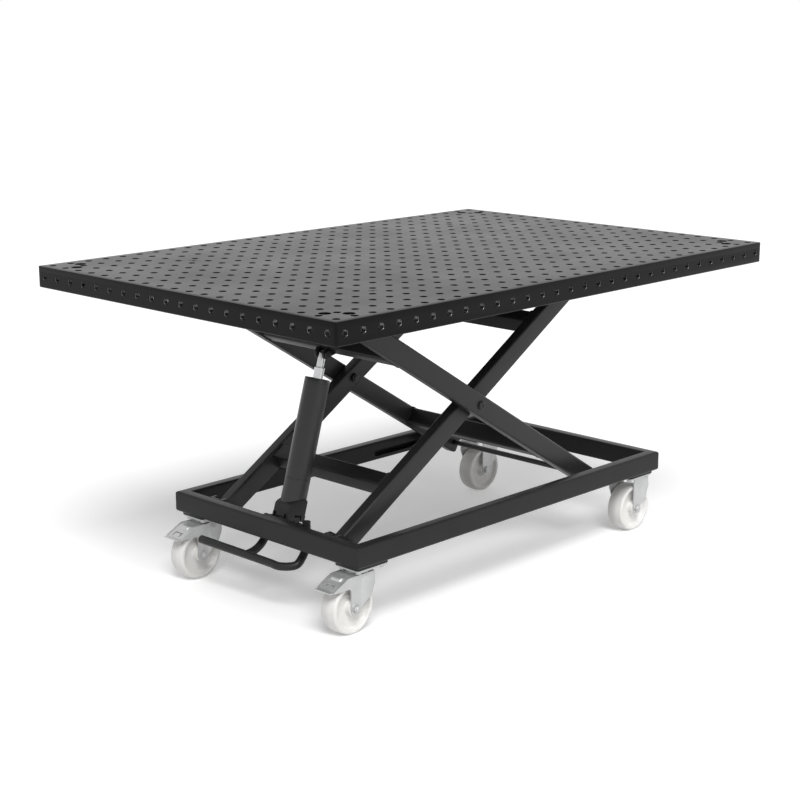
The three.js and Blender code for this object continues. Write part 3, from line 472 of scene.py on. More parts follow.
def inside(x, y, loop):
    odd = False
    for (ax, ay), (bx, by) in zip(loop, loop[1:] + loop[:1]):
        if (ay > y) != (by > y) and x < ax + (y - ay) * (bx - ax) / (by - ay):
            odd = not odd
    return odd


def pressed(bm, outline, holes, spacing, place):
    """Sheet of an outline with holes. place(u, v, side) gives a point of its first or second face."""

    def within(x, y):
        return inside(x, y, outline) and not any(inside(x, y, hole) for hole in holes)

    points, edges, rims = joined([outline, *holes])
    rim_points = list(points)
    us, vs = [p[0] for p in outline], [p[1] for p in outline]
    for i in range(int((max(us) - min(us)) / spacing) + 1):
        for j in range(int((max(vs) - min(vs)) / spacing) + 1):
            spot = Vector((min(us) + (i + 0.5) * spacing, min(vs) + (j + 0.5) * spacing))
            if within(*spot) and min((spot - p).length for p in rim_points) > spacing / 3:
                points.append(spot)
    found = delaunay_2d_cdt(points, edges, [], 0, TOUCH)
    where = {source: i for i, sources in enumerate(found[3]) for source in sources}
    sheets = [ring(bm, [place(u, v, side) for u, v in found[0]]) for side in (0, 1)]
    for face in found[2]:
        middle = sum((found[0][i] for i in face), Vector((0, 0))) / len(face)
        if within(*middle):
            for verts in sheets:
                bm.faces.new([verts[i] for i in face])
    for rim in rims:
        band(bm, [sheets[0][where[i]] for i in rim], [sheets[1][where[i]] for i in rim])


def box_tube(bm, section, start, end, slot=None, hollow=None):
    """Tube along X of a (y, z) section, with ends where start and end say and a slot in its -Y side."""
    first = ring(bm, [(start(y, z), y, z) for y, z in section])
    last = ring(bm, [(end(y, z), y, z) for y, z in section])
    count = len(section)
    slotted = count // 2 - 1
    for i in range(count):
        j = (i + 1) % count
        if slot is None or i != slotted:
            bm.faces.new((first[i], first[j], last[j], last[i]))
    if slot:
        (y, high), (_, low) = section[slotted], section[slotted + 1]
        x0, x1 = start(y, high), end(y, high)
        panel(bm, [(x0, low), (x1, low), (x1, high), (x0, high)], [slot], lambda u, v: (u, y, v))
        wall = [[(u, y + depth, v) for u, v in slot] for depth in (0, SLOT_DEPTH)]
        bm.faces.new(loft(bm, wall)[-1])
    for rim, place, way in ((first, start, 1), (last, end, -1)):
        if hollow is None:
            bm.faces.new(rim)
            continue
        depths = (0, way * TUBE_END_DEPTH)
        lip, deep = loft(bm, [[(place(y, z) + depth, y, z) for y, z in hollow] for depth in depths])
        band(bm, rim, lip)
        bm.faces.new(deep)


def catmull_rom(points, steps):
    """Smooth path through points, spaced by the square root of their distances."""
    points = [Vector(p) for p in points]
    spots = [points[0] * 2 - points[1], *points, points[-1] * 2 - points[-2]]
    path = []
    for i in range(1, len(spots) - 2):
        p0, p1, p2, p3 = spots[i - 1:i + 3]
        gaps = [math.sqrt((b - a).length) for a, b in ((p0, p1), (p1, p2), (p2, p3))]
        out = ((p1 - p0) / gaps[0] - (p2 - p0) / (gaps[0] + gaps[1]) + (p2 - p1) / gaps[1]) * gaps[1]
        into = ((p2 - p1) / gaps[1] - (p3 - p1) / (gaps[1] + gaps[2]) + (p3 - p2) / gaps[2]) * gaps[1]
        path += interpolate_bezier(p1, p1 + out / 3, p2 - into / 3, p2, steps + 1)[:-1]
    return path + [points[-1]]


# Materials
class Finish:
    """Material with helpers that add the nodes of its noise, tones and bumps."""

    def __init__(self, name):
        self.material = bpy.data.materials.new(name)
        self.material.use_nodes = True
        self.tree = self.material.node_tree
        self.shader = self.tree.nodes["Principled BSDF"]

    def fill(self, node, sources, values):
        """Links some inputs of a node and sets others."""
        for socket, source in sources.items():
            self.tree.links.new(source, node.inputs[socket])
        for socket, value in values.items():
            node.inputs[socket].default_value = value

    def add(self, kind, output, sources, values):
        node = self.tree.nodes.new("ShaderNode" + kind)
        self.fill(node, sources, values)
        return node.outputs[output]

    def coords(self, stretch=(1, 1, 1)):
        place = self.add("TexCoord", "Object", {}, {})
        return self.add("Mapping", "Vector", {"Vector": place}, {"Scale": stretch})

    def noise(self, coords, scale, detail=3.0, roughness=0.55):
        values = {"Scale": scale, "Detail": detail, "Roughness": roughness}
        return self.add("TexNoise", "Fac", {"Vector": coords}, values)

    def ramp(self, fac, low, high, low_at=0.3, high_at=0.7):
        """Maps a factor to a range of grey values or between two colours."""
        node = self.tree.nodes.new("ShaderNodeValToRGB")
        self.fill(node, {"Fac": fac}, {})
        for element, at, value in zip(node.color_ramp.elements, (low_at, high_at), (low, high)):
            element.position = at
            element.color = (*value, 1) if isinstance(value, tuple) else (value, value, value, 1)
        return node.outputs["Color"]

    def multiply(self, first, second):
        node = self.tree.nodes.new("ShaderNodeMix")
        node.data_type = "RGBA"
        node.blend_type = "MULTIPLY"
        self.fill(node, {"A": first, "B": second}, {"Factor": 1.0})
        return node.outputs["Result"]

    def bump(self, height, strength, distance, normal=None):
        sources = {"Height": height, "Normal": normal} if normal else {"Height": height}
        return self.add("Bump", "Normal", sources, {"Strength": strength, "Distance": distance})

    def done(self, color, roughness, normal, values):
        """Fills the shader's inputs and gives the material."""
        sources = {"Base Color": color, "Roughness": roughness, "Normal": normal}
        self.fill(self.shader, {socket: source for socket, source in sources.items() if source}, values)
        return self.material


def powder_coat(name, low, high, gloss):
    made = Finish(name)
    coords = made.coords()
    cloud = made.noise(coords, 9)
    grain = made.noise(coords, 1500, 2)
    peel = made.noise(coords, 420, 2)
    tone = made.ramp(cloud, (low, low, low * 1.02), (high, high, high * 1.02))
    speck = made.ramp(grain, 0.86, 1.0, 0.35, 0.6)
    skin = made.bump(grain, 0.1, 0.0002, made.bump(peel, 0.12, 0.0006))
    color = made.multiply(tone, speck)
    return made.done(color, made.ramp(cloud, 0.33, 0.40), skin, {"Specular IOR Level": gloss})


def nitrided():
    made = Finish("nitrided_steel")
    coords = made.coords()
    cloud = made.noise(coords, 5, 5, 0.6)
    fleck = made.noise(coords, 260, 3)
    strokes = made.noise(made.coords((4, 90, 90)), 14, 4, 0.7)
    tone = made.ramp(cloud, (0.0035, 0.0035, 0.0037), (0.0055, 0.0055, 0.0057))
    shine = made.multiply(made.ramp(cloud, 0.27, 0.34), made.ramp(strokes, 0.9, 1.0))
    skin = made.bump(fleck, 0.05, 0.0003, made.bump(strokes, 0.05, 0.0003))
    color = made.multiply(tone, made.ramp(strokes, 0.82, 1.0))
    return made.done(color, shine, skin, {"Specular IOR Level": 0.11})


def black_oxide():
    made = Finish("black_oxide")
    cloud = made.noise(made.coords(), 60, 4)
    turned = made.noise(made.coords((60, 900, 60)), 3, 2)
    tone = made.ramp(cloud, (0.012, 0.012, 0.0125), (0.024, 0.023, 0.0225))
    return made.done(tone, made.ramp(cloud, 0.3, 0.42), made.bump(turned, 0.08, 0.0002), {"Metallic": 0.35})


# Painted highlight: a lighter metal for the skirt holes' walls, standing in for their glints; the top holes
# keep the dark plate steel
def glint_bore():
    made = Finish("bored_steel_painted_glint")
    rings = made.noise(made.coords(), 900, 2)
    values = {"Base Color": (0.12, 0.12, 0.122, 1), "Metallic": 1.0}
    return made.done(None, made.ramp(rings, 0.30, 0.42), None, values)


def chrome():
    made = Finish("hard_chrome")
    cloud = made.noise(made.coords(), 40, 3)
    lines = made.noise(made.coords((20, 20, 700)), 5, 3)
    tone = made.ramp(cloud, (0.52, 0.525, 0.53), (0.62, 0.625, 0.63))
    return made.done(tone, made.ramp(lines, 0.13, 0.22), made.bump(lines, 0.03, 0.0001), {"Metallic": 1.0})


def zinc():
    made = Finish("bright_zinc")
    coords = made.coords()
    cloud = made.noise(coords, 45, 5, 0.6)
    spangle = made.add("TexVoronoi", "Distance", {"Vector": coords}, {"Scale": 330})
    drawn = made.bump(made.noise(coords, 700, 2), 0.06, 0.0002)
    tone = made.ramp(cloud, (0.53, 0.535, 0.54), (0.59, 0.59, 0.59))
    cells = made.ramp(spangle, 1.0, 0.93, 0.0, 0.8)
    return made.done(made.multiply(tone, cells), made.ramp(cloud, 0.38, 0.50), drawn, {"Metallic": 0.65})


def polyamide():
    made = Finish("cast_polyamide")
    coords = made.coords()
    cloud = made.noise(coords, 22, 4)
    pores = made.bump(made.noise(coords, 600, 3), 0.06, 0.0002)
    scuff = made.noise(made.coords((1, 14, 1)), 30, 5, 0.65)
    tone = made.ramp(cloud, (0.72, 0.710, 0.690), (0.77, 0.762, 0.745))
    marks = made.ramp(scuff, 0.94, 1.0, 0.33, 0.5)
    values = {"Subsurface Weight": 0.05, "Subsurface Radius": (0.004, 0.0035, 0.003)}
    return made.done(made.multiply(tone, marks), made.ramp(cloud, 0.38, 0.5), pores, values)


MATERIALS = {
    "frame_black": powder_coat("powder_coat_black", 0.018, 0.022, 0.22),
    "plate_steel": nitrided(),
    "pin_steel": black_oxide(),
    # painted highlight of the skirt holes' walls
    "bore_painted_glint": glint_bore(),
    "rod_chrome": chrome(),
    "castor_zinc": zinc(),
    "wheel_polyamide": polyamide(),
}

# Copies of the frame's paint, picked by a part of the node's name, that differ in gloss and in painted light:
# the arms and the barrel have a lighter tone standing in for light they lack under the top, the base beams
# and crossbars a darker tone standing in for shade
SATIN_DARKENED_COAT = powder_coat("satin_coat_black_painted_shade", 0.016, 0.020, 0.16)
GLOSSIER_LIGHTENED_COAT = powder_coat("gloss_coat_black_painted_light", 0.020, 0.024, 0.30)
ENAMEL_LIGHTENED_COAT = powder_coat("barrel_enamel_black_painted_light", 0.036, 0.042, 0.36)
PAINTED_LIGHT_COATS = {"base_beam": SATIN_DARKENED_COAT, "inner_arm": GLOSSIER_LIGHTENED_COAT, "outer_arm": GLOSSIER_LIGHTENED_COAT, "crossbar": SATIN_DARKENED_COAT,
         "cylinder_barrel": ENAMEL_LIGHTENED_COAT}


# Pieces
def piece(name, bm, body, slot, nodes=(), place=None, flip=False):
    """Turns a drawn shape into a piece that rides on a body. It can be moved, or mirrored across Y."""
    if place is not None:
        bmesh.ops.transform(bm, matrix=place, verts=bm.verts)
    if flip:
        bmesh.ops.scale(bm, vec=(1, -1, 1), verts=bm.verts)
    bmesh.ops.remove_doubles(bm, verts=bm.verts, dist=TOUCH * 10)
    bmesh.ops.scale(bm, vec=(MM, MM, MM), verts=bm.verts)
    bmesh.ops.recalc_face_normals(bm, faces=bm.faces)
    for face in bm.faces:
        face.smooth = True
    for edge in bm.edges:
        edge.smooth = edge.is_manifold and edge.calc_face_angle(math.pi) < SHARP_ANGLE
    mesh = bpy.data.meshes.new(name)
    bm.to_mesh(mesh)
    bm.free()
    mesh.materials.append(MATERIALS[slot])
    made = bpy.data.objects.new(name, mesh)
    bpy.context.scene.collection.objects.link(made)
    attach(made, body)
    if nodes:
        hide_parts(*nodes)
    return made


def dress(node, bm, slot, place=None, flip=False):
    """The piece that stands for one node of the model."""
    made = piece(node + "_dressed", bm, BODY[node], slot, (node,), place, flip)
    # Some nodes take a copy of the coat with painted light or shade in its tone
    for part, coat in PAINTED_LIGHT_COATS.items():
        if part in node:
            made.data.materials[0] = coat
    return made


def hole_line(length):
    count = int(length / HOLE_PITCH)
    return [(i - (count - 1) / 2) * HOLE_PITCH for i in range(count)]


# Tabletop plate: 600 round holes, larger ones at the corners, seats of the flush bolts
def add_plate():
    low = TOP_HEIGHT - PLATE
    spots = [(x, y, HOLE_RADIUS) for x in hole_line(TOP_LENGTH) for y in hole_line(TOP_WIDTH)]
    for sx, sy in CORNERS:
        for dx, dy in ((CORNER_HOLE_NEAR, CORNER_HOLE_FAR), (CORNER_HOLE_FAR, CORNER_HOLE_NEAR)):
            spots.append((sx * (TOP_LENGTH / 2 - dx), sy * (TOP_WIDTH / 2 - dy), CORNER_HOLE_RADIUS))
        spots.append((sx * TOP_BOLT_X, sy * TOP_BOLT_Y, TOP_BOLT_RADIUS))
    bm = bmesh.new()
    drop = TOP_EDGE * (1 - math.sqrt(0.5))
    face, mid, wall = (rounded_rect(TOP_LENGTH - 2 * inset, TOP_WIDTH - 2 * inset, TOP_CORNER - inset)
                       for inset in (TOP_EDGE, drop, 0))
    mouths = [circle(x, y, radius + HOLE_CHAMFER, HOLE_SIDES) for x, y, radius in spots]
    bores = [circle(x, y, radius, HOLE_SIDES) for x, y, radius in spots]
    panel(bm, face, mouths, lambda u, v: (u, v, TOP_HEIGHT))
    panel(bm, wall, bores, lambda u, v: (u, v, low))
    for mouth, bore in zip(mouths, bores):
        loft(bm, lifted(((mouth, TOP_HEIGHT), (bore, TOP_HEIGHT - HOLE_CHAMFER), (bore, low))))
    rim = ((face, TOP_HEIGHT), (mid, TOP_HEIGHT - drop), (wall, TOP_HEIGHT - TOP_EDGE), (wall, low))
    loft(bm, lifted(rim))
    dress("tabletop_plate", bm, "plate_steel")


def skirt(length, half, radius, place):
    """Skirt drawn along U, outwards along V, with its holes and rounded outer corners."""
    bm = bmesh.new()
    high = TOP_HEIGHT - PLATE
    low = RAIL_TOP

    def plan(inset):
        x, y, r = half - inset, SKIRT - inset, radius - inset
        if radius:
            outer = arc(x - r, y - r, r, 0, 90, TUBE_STEPS) + arc(-x + r, y - r, r, 90, 180, TUBE_STEPS)
        else:
            outer = [(x, y), (-x, y)]
        return [(x, inset), *outer, (-x, inset)]

    full, shy = plan(0), plan(SKIRT_EDGE)
    top = ring(bm, [place(u, v, high) for u, v in full])
    wall = ring(bm, [place(u, v, low + SKIRT_EDGE) for u, v in full])
    foot = ring(bm, [place(u, v, low) for u, v in shy])
    bm.faces.new(top)
    bm.faces.new(foot)
    band(bm, wall, foot)
    count = len(full)
    outer = count // 2 - 1
    for i in range(count - 1):
        if i != outer:
            bm.faces.new((top[i], top[i + 1], wall[i + 1], wall[i]))
    lines = hole_line(length)
    mouths = [circle(u, HOLE_HEIGHT, HOLE_RADIUS + HOLE_CHAMFER, HOLE_SIDES) for u in lines]
    bores = [circle(u, HOLE_HEIGHT, HOLE_RADIUS, HOLE_SIDES) for u in lines]
    for at, loops, v in ((outer, mouths, SKIRT), (-1, bores, 0)):
        reach = abs(full[at][0])
        face = [(-reach, low + SKIRT_EDGE), (reach, low + SKIRT_EDGE), (reach, high), (-reach, high)]
        panel(bm, face, loops, lambda u, w, v=v: place(u, v, w))
    for mouth, bore in zip(mouths, bores):
        levels = ((mouth, SKIRT), (bore, SKIRT - HOLE_CHAMFER), (bore, 0))
        loft(bm, [[place(u, v, w) for u, w in loop] for loop, v in levels])
    return bm


def sleeves(length, place):
    """Walls of a skirt's holes, each a thin sleeve with a chamfered mouth, in a lighter metal than the plate:
    a painted highlight for the glints in the side holes.
    """
    bm = bmesh.new()
    outer, inner, mouth = HOLE_RADIUS - BORE_GAP, HOLE_RADIUS - BORE_WALL, SKIRT - HOLE_CHAMFER
    profile = ((outer, SEAT), (outer, mouth), (inner, mouth - BORE_WALL), (inner, SEAT))
    for u in hole_line(length):
        walls = [(circle(u, HOLE_HEIGHT, radius, HOLE_SIDES), v) for radius, v in profile]
        loft(bm, [[place(x, v, z) for x, z in wall] for wall, v in walls], closed=True)
    return bm


def add_skirts():
    side_y, end_x = TOP_WIDTH / 2 - SKIRT, TOP_LENGTH / 2 - SKIRT
    rows = (("side", SIDES, TOP_LENGTH, TOP_LENGTH / 2, TOP_CORNER),
            ("end", (("rear", 1), ("front", -1)), TOP_WIDTH, side_y, 0))
    for kind, ends, length, half, radius in rows:
        for name, side in ends:
            def place(u, v, w):
                return (u, side * (side_y + v), w) if kind == "side" else (side * (end_x + v), u, w)

            dress(f"{kind}_skirt_{name}", skirt(length, half, radius, place), "plate_steel")
            piece(f"{kind}_bores_{name}", sleeves(length, place), "top", "bore_painted_glint")


# Flush bolts of the top: a countersunk disc with a hexagon socket
def add_top_bolts():
    rim = TOP_BOLT_RADIUS - TOP_BOLT_GAP
    sunk = TOP_HEIGHT - TOP_BOLT_SUNK
    face, wall = circle(0, 0, rim - EDGE, SMALL_SIDES), circle(0, 0, rim, SMALL_SIDES)
    socket = circle(0, 0, SOCKET_RADIUS, 6)
    shells = (((face, sunk), (wall, sunk - EDGE), (wall, sunk - TOP_BOLT_DEPTH)),
              ((socket, sunk), (socket, sunk - SOCKET_DEPTH)))
    for number, (sx, sy) in enumerate(CORNERS, 1):
        bm = bmesh.new()
        panel(bm, face, [socket], lambda u, v: (u, v, sunk))
        for levels in shells:
            bm.faces.new(loft(bm, lifted(levels))[-1])
        place = Matrix.Translation((sx * TOP_BOLT_X, sy * TOP_BOLT_Y, 0))
        piece(f"top_bolt_{number}", bm, "top", "pin_steel", (), place)


# Mitred frames
def add_frame(prefix, length, bottom, slot_z):
    middle_x = FRAME_FRONT + length / 2
    middle_z = bottom + TUBE_HEIGHT / 2
    section = rounded_rect(TUBE_WIDTH, TUBE_HEIGHT, TUBE_RADIUS)
    slot = slot_outline(SLOT_START - middle_x, SLOT_END - middle_x, slot_z - middle_z, SLOT_HEIGHT)
    half_tube = TUBE_WIDTH / 2

    def beam(long, wide, cut):
        bm = bmesh.new()
        half = long / 2
        box_tube(bm, section, lambda y, z: -half + half_tube - y, lambda y, z: half - half_tube + y, cut)
        bmesh.ops.translate(bm, vec=(0, wide / 2 - half_tube, 0), verts=bm.verts)
        return bm

    for name, side in SIDES:
        place = Matrix.Translation((middle_x, 0, middle_z))
        dress(f"{prefix}_beam_{name}", beam(length, FRAME_WIDTH, slot), "frame_black", place, side < 0)
    for name, turn in (("front", 90), ("rear", -90)):
        place = Matrix.Translation((middle_x, 0, middle_z)) @ Matrix.Rotation(math.radians(turn), 4, "Z")
        dress(f"{prefix}_beam_{name}", beam(FRAME_WIDTH, length, None), "frame_black", place)


# Pivot brackets and their pins
def nose(pivot, radius):
    """Rounded end of an ear, from below its pivot to above it."""
    return arc(pivot.x, pivot.z, radius, -90, 90, 12)


def headed_pin(bm, radius, y0, y1, head, x, z):
    """Pin along Y with a chamfered round head at its far end and a recess in the head."""
    end = y1 + PIN_HEAD_HEIGHT
    profile = [(0, y0), (radius - 1, y0), (radius, y0 + 1), (radius, y1), (head - 0.4, y1), (head, y1 + 0.4),
               (head, end - 1), (head - 1, end), (radius * 0.5, end), (radius * 0.4, end - EDGE),
               (0, end - EDGE)]
    lathe(bm, profile, SMALL_SIDES, across(x, z))


def add_pivots():
    levels = (("lower", INNER_ARM_FACE - TUBE_WIDTH, LOWER_PIVOT, BASE_BOTTOM),
              ("upper", OUTER_ARM_FACE - TUBE_WIDTH, UPPER_PIVOT, RAIL_BOTTOM))
    for level, inner, pivot, bottom in levels:
        z0, z1 = bottom + 1, bottom + TUBE_HEIGHT - 1
        near, far = inner - PLAY - BRACKET_PLATE, inner + TUBE_WIDTH + PLAY
        ear = [(BACK_X, z0), *nose(pivot, BRACKET_NOSE), (BACK_X + BRACKET_CUT, z1), (BACK_X, z1)]
        for name, side in SIDES:
            bm = bmesh.new()
            for y in (near, far):
                prism(bm, ear, y, y + BRACKET_PLATE, flat_y, EDGE)
            block(bm, BACK_X, BACK_X + BRACKET_BACK, near + BRACKET_PLATE, far, z0, z1)
            dress(f"{level}_pivot_bracket_{name}", bm, "frame_black", None, side < 0)
            bm = bmesh.new()
            headed_pin(bm, PIN_RADIUS, near - 1, far + BRACKET_PLATE + SEAT, PIN_HEAD, pivot.x, pivot.z)
            dress(f"{level}_pivot_pin_{name}", bm, "pin_steel", None, side < 0)


# Scissor arms, drawn level with U along the arm and then tilted
def arm(u0, u1, y0):
    bm = bmesh.new()
    section = rounded_rect(TUBE_WIDTH, TUBE_HEIGHT, TUBE_RADIUS)
    hollow = rounded_rect(TUBE_WIDTH - 2 * TUBE_WALL, TUBE_HEIGHT - 2 * TUBE_WALL, TUBE_RADIUS - TUBE_WALL)

    def inset(z):
        over = max(0, abs(z) - TUBE_HEIGHT / 2 + ARM_END_RADIUS)
        return ARM_END_RADIUS - math.sqrt(ARM_END_RADIUS ** 2 - over ** 2)

    box_tube(bm, section, lambda y, z: u0 + inset(z), lambda y, z: u1 - inset(z), None, hollow)
    bmesh.ops.translate(bm, vec=(0, y0 + TUBE_WIDTH / 2, 0), verts=bm.verts)
    return bm


def crossbar(u, half):
    """Tube across the arms with a weld bead round each end."""
    bm = bmesh.new()
    section = rounded_rect(CROSSBAR_WIDTH, CROSSBAR_DEPTH, TUBE_RADIUS)
    box_tube(bm, section, lambda y, z: -half, lambda y, z: half)
    bmesh.ops.rotate(bm, matrix=Matrix.Rotation(math.pi / 2, 3, "Z"), verts=bm.verts)
    bmesh.ops.translate(bm, vec=(u, 0, 0), verts=bm.verts)
    path = fine(rounded_rect(CROSSBAR_WIDTH + 1, CROSSBAR_DEPTH + 1, TUBE_RADIUS, 3), BEAD_SPACING)
    for y in (half - 1, 1 - half):
        bead(bm, [(u + x, y, z) for x, z in path])
    return bm


def slide_axle(u):
    bm = bmesh.new()
    reach = FRAME_WIDTH / 2 - 2 * TUBE_WALL
    pin(bm, AXLE_RADIUS, -reach, reach, u, 0)
    return bm


def hex_nut(bm, radius, low, high, place):
    """Six-sided nut along Z with turned chamfers, set into place."""
    levels = ((low, NUT_TURNED), (low + EDGE, 1), (high - EDGE, 1), (high, NUT_TURNED))
    loops = [[place @ Vector((x, y, z)) for x, y in circle(0, 0, radius * size, 6)] for z, size in levels]
    loft(bm, loops, capped=True)


def centre_bolt():
    """Pivot bolt of the crossing arms: washer and domed head outside, nut and thread end inside."""
    bm = bmesh.new()
    face, shank = OUTER_ARM_FACE + SEAT, PIN_RADIUS - 0.2
    inner, place = INNER_ARM_FACE - TUBE_WIDTH, across(ARM_SPAN / 2, 0)
    profile = [(0, inner - 11), (6.6, inner - 11), (shank, inner - 9.6), (shank, face), (NUT_RADIUS, face),
               (NUT_RADIUS, face + 1.6), (10, face + 1.8), (10, face + 3.4), (8.6, face + 4.7),
               (4.2, face + 5), (3.4, face + 3.6), (0, face + 3.6)]
    lathe(bm, profile, SMALL_SIDES, place)
    hex_nut(bm, NUT_RADIUS, inner - NUT_HEIGHT, inner - SEAT, place)
    return bm


def add_arms(kind, place, start, inner, bars, axle_name, fitting):
    """Pair of arms with a fitting on each, two crossbars and the slide axle at the far end."""
    end = start + ARM_SPAN
    what, draw, slot = fitting
    for name, side in SIDES:
        bm = arm(start - ARM_OVERHANG, end + ARM_OVERHANG, inner)
        dress(f"{kind}_arm_{name}", bm, "frame_black", place, side < 0)
        dress(f"{what}_{name}", draw(), slot, place, side < 0)
    for name, u in zip(bars, (start + CROSSBAR_FROM_END, end - CROSSBAR_FROM_END)):
        dress(f"{kind}_arm_crossbar_{name}", crossbar(u, inner), "frame_black", place)
    dress(axle_name, slide_axle(end), "pin_steel", place)


INNER_PLACE = Matrix.Translation(LOWER_PIVOT) @ Matrix.Rotation(-ARM_ANGLE, 4, "Y")
ROD_PIN_U = CROSSBAR_FROM_END - ARM_SPAN / 2 - ROD_PIN_SETBACK
OUTER_PLACE = Matrix.Translation(CENTRE_PIVOT) @ Matrix.Rotation(ARM_ANGLE, 4, "Y")
ROD_PIN = OUTER_PLACE @ Vector((ROD_PIN_U, 0, -ROD_PIN_DROP))
STROKE = ROD_PIN - FOOT
TILT = math.atan2(STROKE.x, STROKE.z)


def rod_bracket():
    bm = bmesh.new()
    top = -CROSSBAR_DEPTH / 2
    tip = arc(ROD_PIN_U, -ROD_PIN_DROP, 2 * ROD_PIN_RADIUS, 180, 360, 12)
    ear = [(tip[0][0], top), *tip, (ROD_PIN_U + ROD_PIN_SETBACK + ROD_BRACKET_BACK, top)]
    prism(bm, ear, ROD_EAR_Y, ROD_EAR_Y + BRACKET_PLATE, flat_y, EDGE)
    return bm


def add_scissor():
    add_arms("inner", INNER_PLACE, 0, INNER_ARM_FACE - TUBE_WIDTH, ("low", "high"), "upper_slide_axle",
             ("centre_pivot_bolt", centre_bolt, "pin_steel"))
    add_arms("outer", OUTER_PLACE, -ARM_SPAN / 2, OUTER_ARM_FACE - TUBE_WIDTH, ("high", "low"),
             "lower_slide_axle", ("rod_bracket", rod_bracket, "frame_black"))
    bm = bmesh.new()
    reach = ROD_EAR_Y + BRACKET_PLATE + SEAT
    headed_pin(bm, ROD_PIN_RADIUS, -reach, reach, ROD_PIN_HEAD, ROD_PIN_U, -ROD_PIN_DROP)
    dress("rod_pin", bm, "pin_steel", OUTER_PLACE, True)


# Lift cylinder, drawn upright from its foot and then tilted
def shoulder(x):
    """Height of the pump block's top, which rolls back from its front to a crest under the barrel."""
    if x > PUMP_CREST_X:
        fall = (PUMP_CREST - PUMP_REAR_TOP) / (PUMP_REAR - PUMP_CREST_X)
        return PUMP_CREST - fall * (x - PUMP_CREST_X)
    t = math.sqrt(max(0, x + PUMP_FRONT) / (PUMP_CREST_X + PUMP_FRONT))
    return PUMP_SHOULDER * (1 - t) ** 2 + 2 * PUMP_TURN * t * (1 - t) + PUMP_CREST * t * t


def pump_block():
    """Block with soft edges, slots for the foot bracket's ears and a boss that turns on the foot pin."""
    bm = bmesh.new()
    half, middle = (PUMP_FRONT + PUMP_REAR) / 2, (PUMP_REAR - PUMP_FRONT) / 2
    dense = fine(rounded_rect(2 * half, 2 * PUMP_HALF, PUMP_CORNER), PUMP_GRID)

    def level(inset):
        drop = PUMP_EDGE - math.sqrt(PUMP_EDGE ** 2 - max(0, PUMP_EDGE - inset) ** 2)
        points = [(middle + x * (1 - inset / half), y * (1 - inset / PUMP_HALF)) for x, y in dense]
        return [(x, y, shoulder(x) - drop) for x, y in points]

    loft(bm, [[(middle + x, y, PUMP_SLOT_TOP) for x, y in dense], *map(level, PUMP_INSETS)], capped=True)
    top = PUMP_SLOT_TOP + SEAT
    shy = 0.03
    front, rear = shy - PUMP_FRONT, PUMP_REAR - shy
    notch = FOOT_HEAD_RADIUS + 1
    block(bm, front, rear, OVERLAP - BOSS_HALF, BOSS_HALF - OVERLAP, -PUMP_DROP, top)
    boss = [(BOSS_SHOULDER, top), (-BOSS_SHOULDER, top), *arc(0, 0, BOSS_HALF, 180, 360, 14)]
    prism(bm, boss, -BOSS_HALF, BOSS_HALF, flat_y, EDGE)
    for side in (1, -1):
        near, far = side * PUMP_CHEEK, side * (PUMP_HALF - shy)
        for x0, x1 in ((front, -notch), (rear, notch)):
            cheek = rounded_polygon([(x1, near, 0), (x1, far, 0), (x0, far, PUMP_CORNER), (x0, near, 0)])
            prism(bm, cheek, -PUMP_DROP, top)
    return bm


def barrel(end):
    """Barrel with a seam above the pump block, a gland ring at its top and the rod's bore."""
    bm = bmesh.new()
    outer, bore = BARREL_RADIUS, ROD_RADIUS + GLAND_PLAY
    groove = 0.5
    profile = [(0, BARREL_START), (outer, BARREL_START)]
    for line in (BARREL_SEAM, end - GLAND_LINE):
        profile += [(outer, line - groove), (outer - groove, line - 0.2), (outer - groove, line + 0.2),
                    (outer, line + groove)]
    profile += [(outer, end - 1.6), (outer - 0.5, end - 0.5), (outer - 1.8, end), (bore + 1, end),
                (bore, end - 1), (bore, end - GLAND_DEPTH), (0, end - GLAND_DEPTH)]
    lathe(bm, profile, ROUND_SIDES)
    for vert in bm.verts:
        if vert.co.z < BARREL_START + SAME:
            vert.co.z = shoulder(vert.co.x) + (SEAT if vert.co.xy.length > SAME else BARREL_DISH)
    return bm


def piston_rod(length):
    """Chrome rod with a groove under the narrower neck that its pin goes through."""
    bm = bmesh.new()
    neck, groove = ROD_NECK_RADIUS, ROD_NECK_RADIUS - 0.7
    profile = [(0, -length), (ROD_RADIUS - 2, -length), (ROD_RADIUS, 2 - length),
               (ROD_RADIUS, -ROD_NECK - 1.2), (ROD_RADIUS - 1.2, -ROD_NECK), (groove, -ROD_NECK),
               (groove, 1.8 - ROD_NECK), (neck, 2.5 - ROD_NECK), *arc(0, 0, neck, 0, 80, 8), (0, neck)]
    lathe(bm, profile, ROUND_SIDES)
    return bm


def add_cylinder():
    length = STROKE.length
    turn = Matrix.Rotation(TILT, 4, "Y")
    foot = Matrix.Translation(FOOT) @ turn
    dress("pump_block", pump_block(), "frame_black", foot)
    dress("cylinder_barrel", barrel(length - ROD_SHOWING), "frame_black", foot)
    dress("piston_rod", piston_rod(length - ROD_SHORTFALL), "rod_chrome", Matrix.Translation(ROD_PIN) @ turn)


